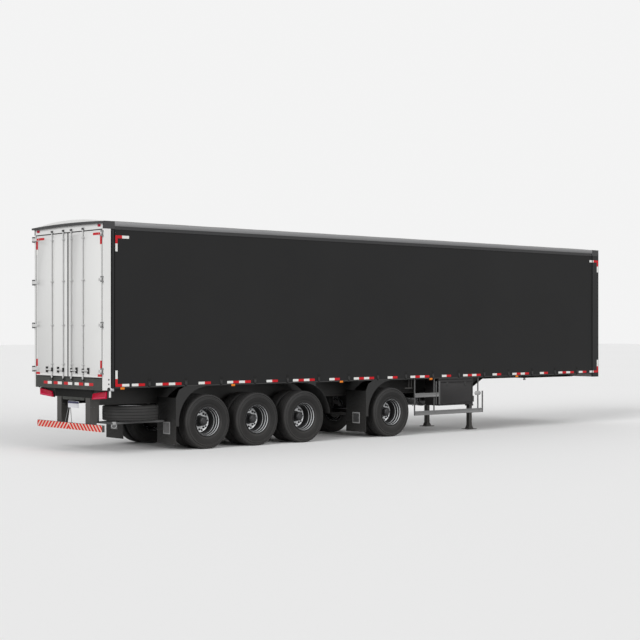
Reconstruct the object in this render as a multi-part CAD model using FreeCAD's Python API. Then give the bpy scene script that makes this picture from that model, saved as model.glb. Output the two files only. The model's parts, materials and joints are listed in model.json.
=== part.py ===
import FreeCAD, Part
import os
from math import cos, sin, pi, radians

# Curtain-side semi trailer with four twin-wheel axles, parked on its landing legs.
# Millimetres. +X is forward, +Y is left, +Z is up. The origin is on the ground, at the middle of the
# length and of the width. "From the door" means forward of the rear face of the closed doors.

# Driving dimensions
length = 14832
width = 2600
crown = 4500
rim_reach = 65
half_width = width / 2
door_face = rim_reach - length / 2
front_face = length / 2

axle_pitch = 1250
first_axle = door_face + 2437
straight_axles = [first_axle, first_axle + axle_pitch, first_axle + 2 * axle_pitch]
steer_axle = door_face + 7480

tyre_radius = 545
tyre_sides = 28
outer_tyre_y = 1132
inner_tyre_y = 788
bead_radius = 288
disc_y = (outer_tyre_y + inner_tyre_y) / 2
spindle_radius = 42

rail_y = 455
rail_flange = 130
rail_bottom = 910
rail_top = 1305
neck_bottom = 1185
deck_bottom = 1405
deck_top = 1445
side_rail_bottom = 1262
side_rail_inner = 1235
side_rail_outer = 1278

curtain_inner = 1279
curtain_outer = 1283
curtain_bottom = 1283
valance_bottom = 4262
header_bottom = 4270
top_rail_bottom = 4327
eaves = 4415
roof_thick = 4

post_length = 153
post_inner = 1250
post_bottom = 1232
door_thick = 35
door_bottom = 1452
door_top = 4264
door_edge = 1244
door_gap = 6
hinge_x = door_face - 55
hinge_y = 1284
hinge_heights = [1590, 2460, 3320, 4180]
bar_places = [150, 580]
bar_x = door_face - 20
bar_radius = 13.5
strap_end = 1120
beam_end = 700
lamp_front = door_face + 142

steer_pin_y = 550
arm_length = 200
leg_x = door_face + 10580
leg_y = 712
pin_x = door_face + 13400
spare_x = door_face + 980
spare_y = -700
spare_z = 758
box_rear = door_face + 8970
box_front = door_face + 10100


def at(x, y, z):
    return FreeCAD.Vector(x, y, z)


up = at(0, 0, 1)
left = at(0, 1, 0)
forward = at(1, 0, 0)


# Basic shapes
def block(x0, x1, y0, y1, z0, z1):
    return Part.makeBox(x1 - x0, y1 - y0, z1 - z0, at(x0, y0, z0))


def rod(start, direction, reach, radius):
    return Part.makeCylinder(radius, reach, start, direction)


def flat_side(points, y0, y1):
    # An outline of (x, z) points, extruded across the trailer
    corners = [at(x, y0, z) for x, z in points]
    return Part.Face(Part.makePolygon(corners + corners[:1])).extrude(at(0, y1 - y0, 0))


def cross_section(points, x0, x1):
    # An outline of (y, z) points, extruded along the trailer
    corners = [at(x0, y, z) for y, z in points]
    return Part.Face(Part.makePolygon(corners + corners[:1])).extrude(at(x1 - x0, 0, 0))


def flat_plan(points, z0, z1):
    # An outline of (x, y) points, extruded upwards
    corners = [at(x, y, z0) for x, y in points]
    return Part.Face(Part.makePolygon(corners + corners[:1])).extrude(at(0, 0, z1 - z0))


def turned(points, centre, axis):
    # A ring turned about an axis through centre, from (distance along the axis, radius) points
    across = forward if axis != forward else up
    corners = [centre + axis * along + across * radius for along, radius in points]
    return Part.Face(Part.makePolygon(corners + corners[:1])).revolve(centre, axis, 360)


def fused(shapes):
    whole = shapes[0].multiFuse(shapes[1:]) if len(shapes) > 1 else shapes[0]
    return whole.removeSplitter().Solids[0]


def mirrored(shape):
    return shape.mirror(at(0, 0, 0), left)


def both_sides(shape):
    return [shape, mirrored(shape)]


def arched(half, low, edge, middle, x0, x1):
    # A section with a flat bottom at low and a top that rises from edge at the sides to middle
    path = [
        Part.LineSegment(at(x0, -half, low), at(x0, half, low)),
        Part.LineSegment(at(x0, half, low), at(x0, half, edge)),
        Part.Arc(at(x0, half, edge), at(x0, 0, middle), at(x0, -half, edge)),
        Part.LineSegment(at(x0, -half, edge), at(x0, -half, low))]
    return Part.Face(Part.Wire([piece.toShape() for piece in path])).extrude(at(x1 - x0, 0, 0))


def arched_band(half, low_edge, low_middle, edge, middle, x0, x1):
    # A section between two arcs
    path = [
        Part.Arc(at(x0, -half, low_edge), at(x0, 0, low_middle), at(x0, half, low_edge)),
        Part.LineSegment(at(x0, half, low_edge), at(x0, half, edge)),
        Part.Arc(at(x0, half, edge), at(x0, 0, middle), at(x0, -half, edge)),
        Part.LineSegment(at(x0, -half, edge), at(x0, -half, low_edge))]
    return Part.Face(Part.Wire([piece.toShape() for piece in path])).extrude(at(x1 - x0, 0, 0))


def save(name, solids):
    shape = Part.makeCompound(solids) if len(solids) > 1 else solids[0]
    shape.exportStep("parts/" + name + ".step")


# Underframe
def chassis_rails():
    rear = door_face + 150
    step = door_face + 10750
    neck = door_face + 11250
    front = front_face - 170
    flange = 16
    web = 12
    low = [(rear, rail_bottom), (step, rail_bottom), (neck, neck_bottom), (front, neck_bottom)]
    high = [(front, rail_top), (rear, rail_top)]
    plate = flat_side(low + high, rail_y - web / 2, rail_y + web / 2)
    lifted = [(x, z + flange) for x, z in reversed(low)]
    inner = rail_y - rail_flange / 2
    outer = rail_y + rail_flange / 2
    bottom = flat_side(low + lifted, inner, outer)
    top = block(rear, front, inner, outer, rail_top - flange, rail_top)
    save("chassis_rails", both_sides(fused([plate, bottom, top])))


def cross_members():
    pitch = 500
    depth = 50
    wall = 6
    members = []
    x = door_face + 250
    while x + depth < front_face - 200:
        channel = [(0, rail_top), (depth, rail_top), (depth, rail_top + wall), (wall, rail_top + wall),
                   (wall, deck_bottom - wall), (depth, deck_bottom - wall), (depth, deck_bottom),
                   (0, deck_bottom)]
        profile = [(x + along, z) for along, z in channel]
        members.append(flat_side(profile, -side_rail_inner, side_rail_inner))
        x += pitch
    save("cross_members", members)


def floor():
    gap = 4
    boards = 4
    board = 2 * side_rail_inner / boards
    rear = door_face + 150
    front = front_face - 170
    planks = []
    for number in range(boards):
        start = -side_rail_inner + number * board
        planks.append(block(rear, front, start + gap / 2, start + board - gap / 2, deck_bottom, deck_top))
    save("floor", planks)


def side_rails():
    wall = 8
    rear = door_face + 250
    front = front_face - 237
    profile = [(side_rail_inner, side_rail_bottom), (side_rail_outer, side_rail_bottom),
               (side_rail_outer, deck_top), (side_rail_inner, deck_top), (side_rail_inner, deck_top - wall),
               (side_rail_outer - wall, deck_top - wall), (side_rail_outer - wall, side_rail_bottom + wall),
               (side_rail_inner, side_rail_bottom + wall)]
    save("side_rails", both_sides(cross_section(profile, rear, front)))


# Front wall
def headboard():
    half = 1200
    wall_back = front_face - 67
    wall_front = front_face - 32
    rib = 10
    wall = block(wall_back, wall_front, -half, half, neck_bottom, top_rail_bottom)
    gable = arched(half, top_rail_bottom, eaves - 10 + 2, crown, wall_back, front_face)
    beam = block(front_face - 170, wall_front, -half, half, neck_bottom, deck_top)
    ribs = []
    for number in range(9):
        y = -1040 + number * 260
        ribs.append(block(wall_front, wall_front + rib, y - 40, y + 40, 1500, top_rail_bottom))
    save("headboard", [fused([wall, gable, beam] + ribs)])


def front_posts():
    rear = front_face - 237
    outline = [(rear, 1262), (rear, half_width), (front_face, half_width), (front_face, 1200),
               (front_face - 67, 1200), (front_face - 67, 1262)]
    save("front_posts", both_sides(flat_plan(outline, neck_bottom, header_bottom)))


# Rear frame
def rear_posts():
    lip_back = door_face + door_thick + 7
    post = block(door_face, door_face + post_length, post_inner, half_width, post_bottom, header_bottom)
    lip = block(lip_back, lip_back + 20, 1200, post_inner, deck_top, header_bottom)
    save("rear_posts", both_sides(fused([post, lip])))


def rear_header():
    depth = 60
    half = 1262
    panel = block(door_face, door_face + depth, -half, half, header_bottom, 4380)
    gable = arched(half, 4380, eaves + 2, crown, door_face, door_face + depth)
    keepers = []
    for place in bar_places:
        for side in (-1, 1):
            for lip in (-46, 36):
                y = side * place + lip
                keepers.append(block(door_face - 18, door_face, y, y + 10, 4282, 4328))
    save("rear_header", [fused([panel, gable] + keepers)])


def top_caps():
    rim = arched_band(half_width, 4372, 4390, 4408, 4434, door_face - rim_reach, door_face)
    rear_cap = block(door_face, door_face + 243, 1262, half_width, header_bottom, eaves)
    front_cap = block(front_face - 257, front_face, 1262, half_width, header_bottom, eaves)
    inner_front = block(front_face - 67, front_face, 1200, 1262, header_bottom, eaves)
    front = fused([front_cap, inner_front])
    rear = fused([rim, rear_cap, mirrored(rear_cap)])
    save("top_caps", [rear] + both_sides(front))


def rear_sill():
    depth = 150
    face = door_face
    sill = block(face, face + depth, -post_inner, post_inner, 1225, deck_top)
    # The beam under the sill, as (half width, height), with a thin plate for a lamp at each end
    half_beam = [(400, 1005), (400, 1055), (beam_end, 1055), (beam_end, 1225)]
    outline = half_beam + [(-y, z) for y, z in reversed(half_beam)]
    beam = cross_section(outline, face + 120, face + depth)
    plates = both_sides(block(lamp_front, face + depth, beam_end, post_inner - 30, 1080, 1225))
    keepers = []
    for place in bar_places:
        for side in (-1, 1):
            for lip in (-46, 36):
                y = side * place + lip
                keepers.append(block(face - 18, face, y, y + 10, 1382, 1434))
    save("rear_sill", [fused([sill, beam] + plates + keepers)])


# Roof
def roof_rails():
    rear = door_face + 243
    front = front_face - 257
    inner = 1225
    profile = [(inner, top_rail_bottom), (1262, top_rail_bottom), (1262, valance_bottom),
               (1290, valance_bottom), (1290, top_rail_bottom), (half_width, top_rail_bottom),
               (half_width, eaves - 12), (half_width - 12, eaves), (inner, eaves)]
    save("roof_rails", both_sides(cross_section(profile, rear, front)))


def roof_sheet():
    half = 1285
    rear = door_face + 60
    front = front_face - 67
    edge = eaves + 1 + roof_thick
    save("roof_sheet", [arched_band(half, edge - roof_thick, crown - roof_thick, edge, crown, rear, front)])


def roof_bows():
    half = 1225
    depth = 30
    drop = 3
    pitch = 1200
    bows = []
    x = door_face + 700
    while x < front_face - 500:
        bows.append(arched_band(half, eaves - depth, crown - roof_thick - drop - depth, eaves,
                                crown - roof_thick - drop, x, x + 40))
        x += pitch
    save("roof_bows", bows)


# Curtains and what stretches them
def side_pillars():
    solids = []
    for distance in (3800, 7400, 11000):
        x = door_face + distance
        solids += both_sides(block(x - 30, x + 30, 1226, 1262, deck_top, top_rail_bottom))
    pole = rod(at(door_face + 215, 1266, side_rail_bottom), up, valance_bottom - side_rail_bottom, 32)
    solids += both_sides(pole)
    front_pole = rod(at(front_face - 270, 1248, deck_top), up, valance_bottom - deck_top, 24)
    solids += both_sides(front_pole)
    save("side_pillars", solids)


def curtains():
    rear = door_face + 252
    front = front_face - 240
    sheet = block(rear, front, curtain_inner, curtain_outer, curtain_bottom, valance_bottom)
    save("curtain_left", [sheet])
    save("curtain_right", [mirrored(sheet)])


# Doors
def door_leaf():
    return block(door_face, door_face + door_thick, door_gap, door_edge, door_bottom, door_top)


def lock_bar(place):
    bar = rod(at(bar_x, place, 1386), up, 4326 - 1386, bar_radius)
    cams = [block(door_face - 33, door_face - 6, place - 30, place + 30, 4284, 4326),
            block(door_face - 33, door_face - 6, place - 30, place + 30, 1386, 1432)]
    guides = [block(door_face - 40, door_face, place - 32, place + 32, z - 22, z + 22)
              for z in (1700, 2460, 3320, 4130)]
    handle = block(door_face - 40, door_face - 28, place, place + 215, 1572, 1604)
    grip = block(door_face - 40, door_face, place + 182, place + 212, 1530, 1645)
    return fused([bar, handle, grip] + cams + guides)


def hinge_strap(z):
    outline = [(door_face, strap_end), (door_face, 1244), (door_face - 8, 1244), (door_face - 45, 1292),
               (hinge_x - 8, 1294), (hinge_x - 8, 1274), (door_face - 8, 1205), (door_face - 8, strap_end)]
    strap = flat_plan(outline, z - 30, z + 30)
    return strap.cut(rod(at(hinge_x, hinge_y, z - 40), up, 80, 7.5)).Solids[0]


def hinge_bracket(z):
    lugs = []
    for low, high in ((z - 57, z - 32), (z + 32, z + 57)):
        lugs.append(block(hinge_x, door_face, hinge_y - 11, hinge_y + 11, low, high))
        lugs.append(rod(at(hinge_x, hinge_y, low), up, high - low, 10))
    pin = rod(at(hinge_x, hinge_y, z - 57), up, 114, 7)
    return fused(lugs + [pin])


def doors():
    leaf = door_leaf()
    gear = [lock_bar(place) for place in bar_places] + [hinge_strap(z) for z in hinge_heights]
    save("door_left", [leaf])
    save("door_right", [mirrored(leaf)])
    save("lock_gear_left", gear)
    save("lock_gear_right", [mirrored(piece) for piece in gear])
    brackets = []
    for z in hinge_heights:
        brackets += both_sides(hinge_bracket(z))
    save("door_hinges", brackets)


# Rear lamps, plate and bumper
def rear_lamps():
    outline = [(720, 1033), (765, 1152), (1245, 1212), (1235, 1066)]
    lamp = cross_section(outline, door_face + 85, lamp_front)
    marker = block(door_face - 10, door_face, 1092, 1192, 4314, 4360)
    save("rear_lamps", both_sides(lamp) + both_sides(marker))


def number_plate():
    face = door_face + 120
    plate = block(face, face + 4, -200, 200, 850, 980)
    bracket = block(face + 4, face + 12, -90, 90, 900, 1005)
    save("number_plate", [fused([plate, bracket])])


def bumper():
    bar = block(door_face + 16, door_face + 70, -1217, 1217, 439, 567)
    save("bumper", [bar])
    # Seen from the side: (distance from the door, height)
    inner = [(120, 1055), (150, 1055), (150, rail_bottom), (325, rail_bottom), (250, 445), (70, 445),
             (70, 560), (120, 560)]
    outer = [(120, 1055), (345, 1055), (325, rail_bottom), (120, rail_bottom)]
    flange_edge = rail_y + rail_flange / 2
    leg = flat_side([(door_face + along, z) for along, z in inner], 450, 617)
    head = flat_side([(door_face + along, z) for along, z in outer], flange_edge, 617)
    save("bumper_supports", both_sides(fused([leg, head])))


# Wheels
# One half of a tyre's section: (radius at the middle of a flat, distance from the tyre's middle plane)
tyre_half = [(bead_radius, 112), (430, 147.5), (tyre_radius, 126)]


def tyre(centre, axis):
    # A ring of flats, with one flat on the ground
    across = forward if axis != forward else up
    other = axis.cross(across)
    section = [(side, radius) for radius, side in tyre_half]
    section += [(-side, radius) for side, radius in reversed(section)]
    half_turn = pi / tyre_sides
    rings = []
    for side, radius in section:
        reach = radius / cos(half_turn)
        ring = []
        for number in range(tyre_sides):
            angle = (2 * number + 1) * half_turn
            ring.append(centre + axis * side + across * (reach * cos(angle)) + other * (reach * sin(angle)))
        rings.append(ring)
    faces = []
    for near, far in zip(rings, rings[1:] + rings[:1]):
        for number in range(tyre_sides):
            follow = (number + 1) % tyre_sides
            corners = [near[number], near[follow], far[follow], far[number]]
            faces.append(Part.Face(Part.makePolygon(corners + corners[:1])))
    whole = Part.makeSolid(Part.makeShell(faces))
    return whole if whole.Volume > 0 else whole.reversed()


def wheel_pair(x, side):
    # Both tyres in one node, and both rims with the hub and drum in another
    axis = left * side
    outer = at(x, side * outer_tyre_y, tyre_radius)
    inner = at(x, side * inner_tyre_y, tyre_radius)
    tyres = [tyre(outer, axis), tyre(inner, axis)]
    middle = at(x, 0, tyre_radius)
    barrel_outer = [(130, 300), (130, 276), (104, 266), (52, 262), (34, 246), (-130, 246), (-130, 300),
                    (-116, 300), (-112, bead_radius - 1), (112, bead_radius - 1), (116, 300)]
    shift = outer_tyre_y - disc_y
    disc_outer = [(10 + disc_y, 62), (10 + disc_y, 228), (disc_y + shift - 100, 250),
                  (disc_y + shift - 114, 250), (disc_y, 232), (disc_y, 62)]
    disc_inner = [(disc_y, 62), (disc_y, 228), (disc_y - shift + 100, 250), (disc_y - shift + 86, 250),
                  (disc_y - 12, 232), (disc_y - 12, 62)]
    mirrored_barrel = [(-along, radius) for along, radius in reversed(barrel_outer)]
    hub = [(640, 205), (640, 75), (652, 75), (652, spindle_radius + 3), (1034, spindle_radius + 3),
           (1034, 1), (1064, 1), (1064, 52), (1050, 72), (980, 84), (980, 110), (940, 110), (930, 205)]
    solids = [turned(barrel_outer, outer, axis), turned(mirrored_barrel, inner, axis),
              turned(disc_outer, middle, axis), turned(disc_inner, middle, axis), turned(hub, middle, axis)]
    return tyres, [fused(solids)]


def wheels():
    for number, x in enumerate(straight_axles + [steer_axle], 1):
        for side, name in ((1, "left"), (-1, "right")):
            tyres, rims = wheel_pair(x, side)
            save("tyres_" + str(number) + "_" + name, tyres)
            save("rims_" + str(number) + "_" + name, rims)


def spare_wheel():
    lying = at(spare_x, spare_y, spare_z)
    save("spare_tyre", [tyre(lying, up)])
    barrel = [(130, 300), (130, 276), (104, 266), (52, 262), (34, 246), (-130, 246), (-130, 300),
              (-116, 300), (-112, bead_radius - 1), (112, bead_radius - 1), (116, 300)]
    disc = [(-100, 250), (-160, 228), (-160, 110), (-148, 110), (-148, 228), (-86, 250)]
    shift_down = [(-along, radius) for along, radius in reversed(barrel)]
    save("spare_rim", [fused([turned(shift_down, lying, up), turned(disc, lying, up)])])


def spare_carrier():
    half = 18
    rear = spare_x - 585
    front = spare_x + 585
    shelf = spare_z - 161 - 2 * half
    inner = -rail_y
    outer = -960
    cradle = block(rear - half, front + half, outer - half, inner + half, shelf, shelf + 2 * half)
    bars = [rear, spare_x - 140, spare_x + 140, front]
    for x0, x1 in zip(bars, bars[1:]):
        cradle = cradle.cut(block(x0 + half, x1 - half, outer + half, inner - half, shelf, shelf + 2 * half))
    hangers = [block(x - half, x + half, inner - half, inner + half, shelf, rail_bottom)
               for x in (rear, front)]
    save("spare_carrier", [fused([cradle] + hangers)])


# Axles, steering and suspension
def axle_beams():
    beams = []
    for x in straight_axles:
        beam = rod(at(x, -620, tyre_radius), left, 1240, 65)
        spindle = rod(at(x, -1028, tyre_radius), left, 2056, spindle_radius)
        plates = [rod(at(x, y, tyre_radius), left, 12, 200) for y in (-626, 614)]
        beams.append(fused([beam, spindle] + plates))
    reach = steer_pin_y - 30
    steered = rod(at(steer_axle, -reach, tyre_radius), left, 2 * reach, 65)
    bosses = [rod(at(steer_axle, y, tyre_radius - 74), up, 148, 48) for y in (-steer_pin_y, steer_pin_y)]
    pins = [rod(at(steer_axle, y, tyre_radius - 108), up, 216, 22) for y in (-steer_pin_y, steer_pin_y)]
    beams.append(fused([steered] + bosses + pins))
    save("axle_beams", beams)


def knuckle():
    # Fork above and below the boss of the beam, flange, spindle, brake plate and the arm for the tie rod
    y = steer_pin_y
    z = tyre_radius
    forks = []
    for low, high in ((z - 106, z - 80), (z + 80, z + 106)):
        forks.append(rod(at(steer_axle, y, low), up, high - low, 46))
        forks.append(block(steer_axle - 46, steer_axle + 46, y, 628, low, high))
    flange = block(steer_axle - 60, steer_axle + 60, 608, 628, z - 106, z + 106)
    spindle = rod(at(steer_axle, 610, z), left, 418, spindle_radius)
    plate = rod(at(steer_axle, 616, z), left, 12, 200)
    arm_root = block(steer_axle - arm_length, steer_axle, 606, 620, z - 15, z + 15)
    arm_tip = block(steer_axle - arm_length - 22, steer_axle - arm_length + 22, y - 22, 620, z - 15, z + 15)
    body = fused(forks + [flange, spindle, plate, arm_root, arm_tip])
    bore = rod(at(steer_axle, y, z - 120), up, 240, 22.6)
    eye = rod(at(steer_axle - arm_length, y, z - 20), up, 40, 10.5)
    return body.cut(bore).cut(eye).Solids[0]


def steering():
    left_knuckle = knuckle()
    save("knuckle_left", [left_knuckle])
    save("knuckle_right", [mirrored(left_knuckle)])
    x = steer_axle - arm_length
    z = tyre_radius + 36
    tube = rod(at(x, -steer_pin_y, z), left, 2 * steer_pin_y, 16)
    ends = [rod(at(x, y, z - 18), up, 36, 22) for y in (-steer_pin_y, steer_pin_y)]
    studs = [rod(at(x, y, z - 52), up, 40, 9.5) for y in (-steer_pin_y, steer_pin_y)]
    save("tie_rod", [fused([tube] + ends + studs)])


def suspension():
    hanger_ahead = 500
    bag_behind = 380
    eye_z = 520
    arm_inner = rail_y - 40
    arm_outer = rail_y + 40
    hangers = []
    arms = []
    bags = []
    for x in straight_axles + [steer_axle]:
        # The steered wheels turn in towards their bags, so those are slimmer and nearer the middle
        steered = x == steer_axle
        bag_y = 400 if steered else rail_y
        bag_scale = 0.7 if steered else 1
        pivot = x + hanger_ahead
        cheek = [(pivot - 110, rail_bottom), (pivot - 50, eye_z - 50), (pivot + 50, eye_z - 50),
                 (pivot + 110, rail_bottom)]
        cheeks = [flat_side(cheek, y, y + 10) for y in (arm_inner - 14, arm_outer + 4)]
        roof = block(pivot - 110, pivot + 110, arm_inner - 14, arm_outer + 14, rail_bottom - 12, rail_bottom)
        bolt = rod(at(pivot, arm_inner - 14, eye_z), left, 108, 14)
        hangers += both_sides(fused(cheeks + [roof, bolt]))
        outline = [(pivot, eye_z + 38), (x + 120, 478), (x - 60, 478), (x - bag_behind - 90, 490),
                   (x - bag_behind - 90, 470), (x - 60, 405), (x + 120, 405), (pivot, eye_z - 38)]
        arm = flat_side(outline, arm_inner, arm_outer)
        eye = rod(at(pivot, arm_inner, eye_z), left, 80, 40)
        saddle = block(x - 60, x + 60, arm_inner, arm_outer, 470, 520)
        seat = rod(at(x - bag_behind, bag_y, 474), up, 16, 100 * bag_scale)
        arm = fused([arm, eye, saddle, seat])
        arm = arm.cut(rod(at(x, 0, tyre_radius), left, 600, 65))
        arm = arm.cut(rod(at(pivot, 0, eye_z), left, 600, 14.5)).Solids[0]
        arms += both_sides(arm)
        bag = [(0, 90), (110, 90), (110, 105), (140, 138), (200, 140), (215, 128), (230, 140), (330, 140),
               (370, 110), (420, 110)]
        outline = [(0, 1)] + [(along, radius * bag_scale) for along, radius in bag] + [(420, 1)]
        bags += both_sides(turned(outline, at(x - bag_behind, bag_y, 490), up))
    save("hangers", hangers)
    save("trailing_arms", arms)
    save("air_bags", bags)


# Guards, box and tanks
def quarter_guard(x, way, flap):
    # A curved guard over one quarter of a wheel, with its outer skirt, and the flap behind it
    inner = 706
    outer = inner + 8
    first = radians(86)
    last = radians(4)
    centre_z = tyre_radius

    def on_arc(radius, angle):
        return at(x + way * radius * cos(angle), 622, centre_z + radius * sin(angle))

    middle = (first + last) / 2
    path = [
        Part.Arc(on_arc(inner, first), on_arc(inner, middle), on_arc(inner, last)),
        Part.LineSegment(on_arc(inner, last), on_arc(outer, last)),
        Part.Arc(on_arc(outer, last), on_arc(outer, middle), on_arc(outer, first)),
        Part.LineSegment(on_arc(outer, first), on_arc(inner, first))]
    shell = Part.Face(Part.Wire([piece.toShape() for piece in path])).extrude(at(0, 650, 0))
    skirt_y = 1262
    if not flap:
        tab = block(min(x + way * 120, x + way * 320), max(x + way * 120, x + way * 320), skirt_y,
                    skirt_y + 10, 1150, side_rail_bottom)
        disc = rod(at(x, skirt_y - 10, centre_z), left, 40, inner + 2)
        return fused([shell, tab.cut(disc)])
    reach = 775
    skirt = [(x + way * 90, side_rail_bottom), (x + way * 560, side_rail_bottom), (x + way * 700, 1190),
             (x + way * reach, 1040), (x + way * reach, 480), (x + way * 90, 480)]
    panel = flat_side(skirt, skirt_y, skirt_y + 10)
    panel = panel.cut(rod(at(x, skirt_y - 10, centre_z), left, 40, inner))
    edge = sorted((x + way * (reach - 10), x + way * reach))
    hanging = block(edge[0], edge[1], 622, skirt_y, 130, 1040)
    tie = block(min(x + way * 700, edge[0]), max(x + way * 700, edge[1]), 622, skirt_y, 588, 598)
    return fused([shell, panel.Solids[0], hanging, tie])


def mudguards():
    # Each row: axle position, side of the wheel (-1 behind, 1 ahead), with a skirt and flap
    places = [(straight_axles[0], -1, True), (straight_axles[2], 1, False), (steer_axle, -1, True)]
    guards = []
    for x, way, flap in places:
        guards += both_sides(quarter_guard(x, way, flap))
    save("mudguards", guards)


def side_guards():
    rear = door_face + 8200
    front = door_face + 10450
    inner = 1262
    outer = 1287
    low = (437, 537)
    high = (845, 940)
    posts = [block(x, x + 40, 1237, inner, low[0], side_rail_bottom)
             for x in (rear, door_face + 8822, door_face + 10290)]
    posts.append(block(front - 30, front, inner, outer, low[0], high[1]))
    rail = block(rear, front, inner, outer, low[0], low[1])
    whole = block(rear, front, inner, outer, high[0], high[1])
    behind_box = block(rear, box_rear, inner, outer, high[0], high[1])
    ahead_of_box = block(door_face + 10171, door_face + 10378, inner, outer, high[0], high[1])
    right = fused(posts + [rail, behind_box, ahead_of_box])
    save("side_guards", [fused(posts + [rail, whole]), mirrored(right)])


def tool_box():
    outer = 1286
    inner = 830
    bottom = 635
    save("tool_box", [block(box_rear + 2, box_front - 2, -outer, -inner, bottom, side_rail_bottom)])


def air_tanks():
    radius = 150
    z = 735
    tanks = []
    for distance in (9390, 9800):
        x = door_face + distance
        outline = [(-400, 1), (-400, 65), (-360, 131), (-320, radius), (320, radius), (360, 131), (400, 65),
                   (400, 1)]
        tank = turned(outline, at(x, 0, z), left)
        straps = [block(x - 20, x + 20, side * rail_y - 75, side * rail_y - 55, z, rail_bottom)
                  for side in (-1, 1)]
        hooks = [block(x - 20, x + 20, min(side * 380, side * 300), max(side * 380, side * 300), z - 10,
                       z + 140) for side in (-1, 1)]
        lugs = [block(x - 20, x + 20, min(side * 300, side * 470), max(side * 300, side * 470),
                      rail_bottom - 40, rail_bottom) for side in (-1, 1)]
        tanks.append(fused([tank] + straps + hooks + lugs))
    save("air_tanks", tanks)


# Landing gear
def landing_gear():
    z_split = 560
    leg = block(leg_x - 70, leg_x + 70, leg_y - 65, leg_y + 65, z_split, rail_top)
    inner = block(leg_x - 52, leg_x + 52, leg_y - 48, leg_y + 48, 60, z_split)
    foot = block(leg_x - 140, leg_x + 140, leg_y - 120, leg_y + 120, 0, 14)
    ankle = flat_side([(leg_x - 90, 14), (leg_x + 90, 14), (leg_x + 40, 80), (leg_x - 40, 80)],
                      leg_y - 60, leg_y + 60)
    bracket = block(leg_x - 60, leg_x + 60, rail_y + rail_flange / 2, leg_y - 65, 960, 1240)
    side = fused([leg, inner, foot, ankle, bracket])
    shaft = rod(at(leg_x, -leg_y, 720), left, 2 * leg_y, 22)
    crank = fused([rod(at(leg_x, leg_y, 980), left, 1180 - leg_y, 14),
                   block(leg_x - 12, leg_x + 12, 1162, 1180, 760, 980),
                   rod(at(leg_x, 1070, 770), left, 110, 12)])
    save("landing_gear", [fused(both_sides(side) + [shaft, crank])])


# Coupling to the tractor
def coupler():
    plate = block(pin_x - 750, front_face - 170, -600, 600, neck_bottom - 8, neck_bottom)
    save("coupler_plate", [plate])
    # Two-inch kingpin: collar, neck and head
    profile = [(0, 1), (0, 60), (-10, 60), (-10, 36.5), (-35, 36.5), (-35, 25.4), (-65, 25.4), (-65, 35.7),
               (-84, 35.7), (-84, 1)]
    save("kingpin", [turned(profile, at(pin_x, 0, neck_bottom - 8), up)])
    face = front_face - 32
    panel = block(face, face + 8, -320, 320, 1300, 1440)
    sockets = [rod(at(face + 8, y, 1370), forward, 24, 32) for y in (-220, -75, 75, 220)]
    save("front_couplings", [fused([panel] + sockets)])


def main():
    os.makedirs("parts", exist_ok=True)
    for make in (chassis_rails, cross_members, floor, side_rails, headboard, front_posts, rear_posts,
                 rear_header, top_caps, rear_sill, roof_rails, roof_sheet, roof_bows, side_pillars, curtains,
                 doors, rear_lamps, number_plate, bumper, wheels, spare_wheel, spare_carrier, axle_beams,
                 steering, suspension, mudguards, side_guards, tool_box, air_tanks, landing_gear, coupler):
        make()


main()
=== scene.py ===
import json
from math import atan2, cos, pi, radians, sin, sqrt

import bmesh
import bpy
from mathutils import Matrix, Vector

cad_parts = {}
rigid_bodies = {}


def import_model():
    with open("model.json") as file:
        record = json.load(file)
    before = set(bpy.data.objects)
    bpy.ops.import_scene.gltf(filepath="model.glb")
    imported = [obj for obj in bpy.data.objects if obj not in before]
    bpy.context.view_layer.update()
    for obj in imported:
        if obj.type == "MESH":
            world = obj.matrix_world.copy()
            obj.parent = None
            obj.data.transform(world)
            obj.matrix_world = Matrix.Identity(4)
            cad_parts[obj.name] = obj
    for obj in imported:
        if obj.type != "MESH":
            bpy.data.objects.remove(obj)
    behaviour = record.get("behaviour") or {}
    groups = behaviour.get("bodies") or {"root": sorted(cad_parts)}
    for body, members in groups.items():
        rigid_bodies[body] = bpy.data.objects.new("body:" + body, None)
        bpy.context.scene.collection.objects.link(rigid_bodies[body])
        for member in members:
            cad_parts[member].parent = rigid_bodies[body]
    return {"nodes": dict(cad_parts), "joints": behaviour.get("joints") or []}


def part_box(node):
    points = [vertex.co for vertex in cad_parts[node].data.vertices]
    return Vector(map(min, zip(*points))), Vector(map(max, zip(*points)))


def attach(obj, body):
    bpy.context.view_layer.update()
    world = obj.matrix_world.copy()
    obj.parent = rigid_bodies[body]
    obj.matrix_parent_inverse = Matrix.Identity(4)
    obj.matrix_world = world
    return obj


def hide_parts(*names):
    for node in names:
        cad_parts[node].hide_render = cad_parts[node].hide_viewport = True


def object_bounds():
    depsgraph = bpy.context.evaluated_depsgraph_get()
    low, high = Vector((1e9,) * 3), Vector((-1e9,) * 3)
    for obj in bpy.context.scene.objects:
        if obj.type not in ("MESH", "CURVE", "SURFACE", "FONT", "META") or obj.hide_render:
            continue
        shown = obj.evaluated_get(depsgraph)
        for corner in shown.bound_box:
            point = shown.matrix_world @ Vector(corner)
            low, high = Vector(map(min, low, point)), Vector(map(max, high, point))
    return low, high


for startUp in list(bpy.data.objects):       # the cube, lamp and camera of a new file
    bpy.data.objects.remove(startUp)

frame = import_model()
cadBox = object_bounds()
nodes = frame["nodes"]
print("frame loaded:", len(nodes), "nodes")

# Places that many pieces share, all from the frame
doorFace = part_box("door_left")[0].x          # rear face of the closed doors
noseFace = cadBox[1].x                       # front of the posts
halfWidth = cadBox[1].y
curtainLow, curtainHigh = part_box("curtain_left")
pin = {joint["name"]: Vector(joint["pos_m"]) for joint in frame["joints"]}
axleX = [pin["wheel_%d_left_spin" % number].x for number in (1, 2, 3, 4)]
wheelZ = pin["wheel_1_left_spin"].z
sides = (("Left", 1), ("Right", -1))


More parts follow.
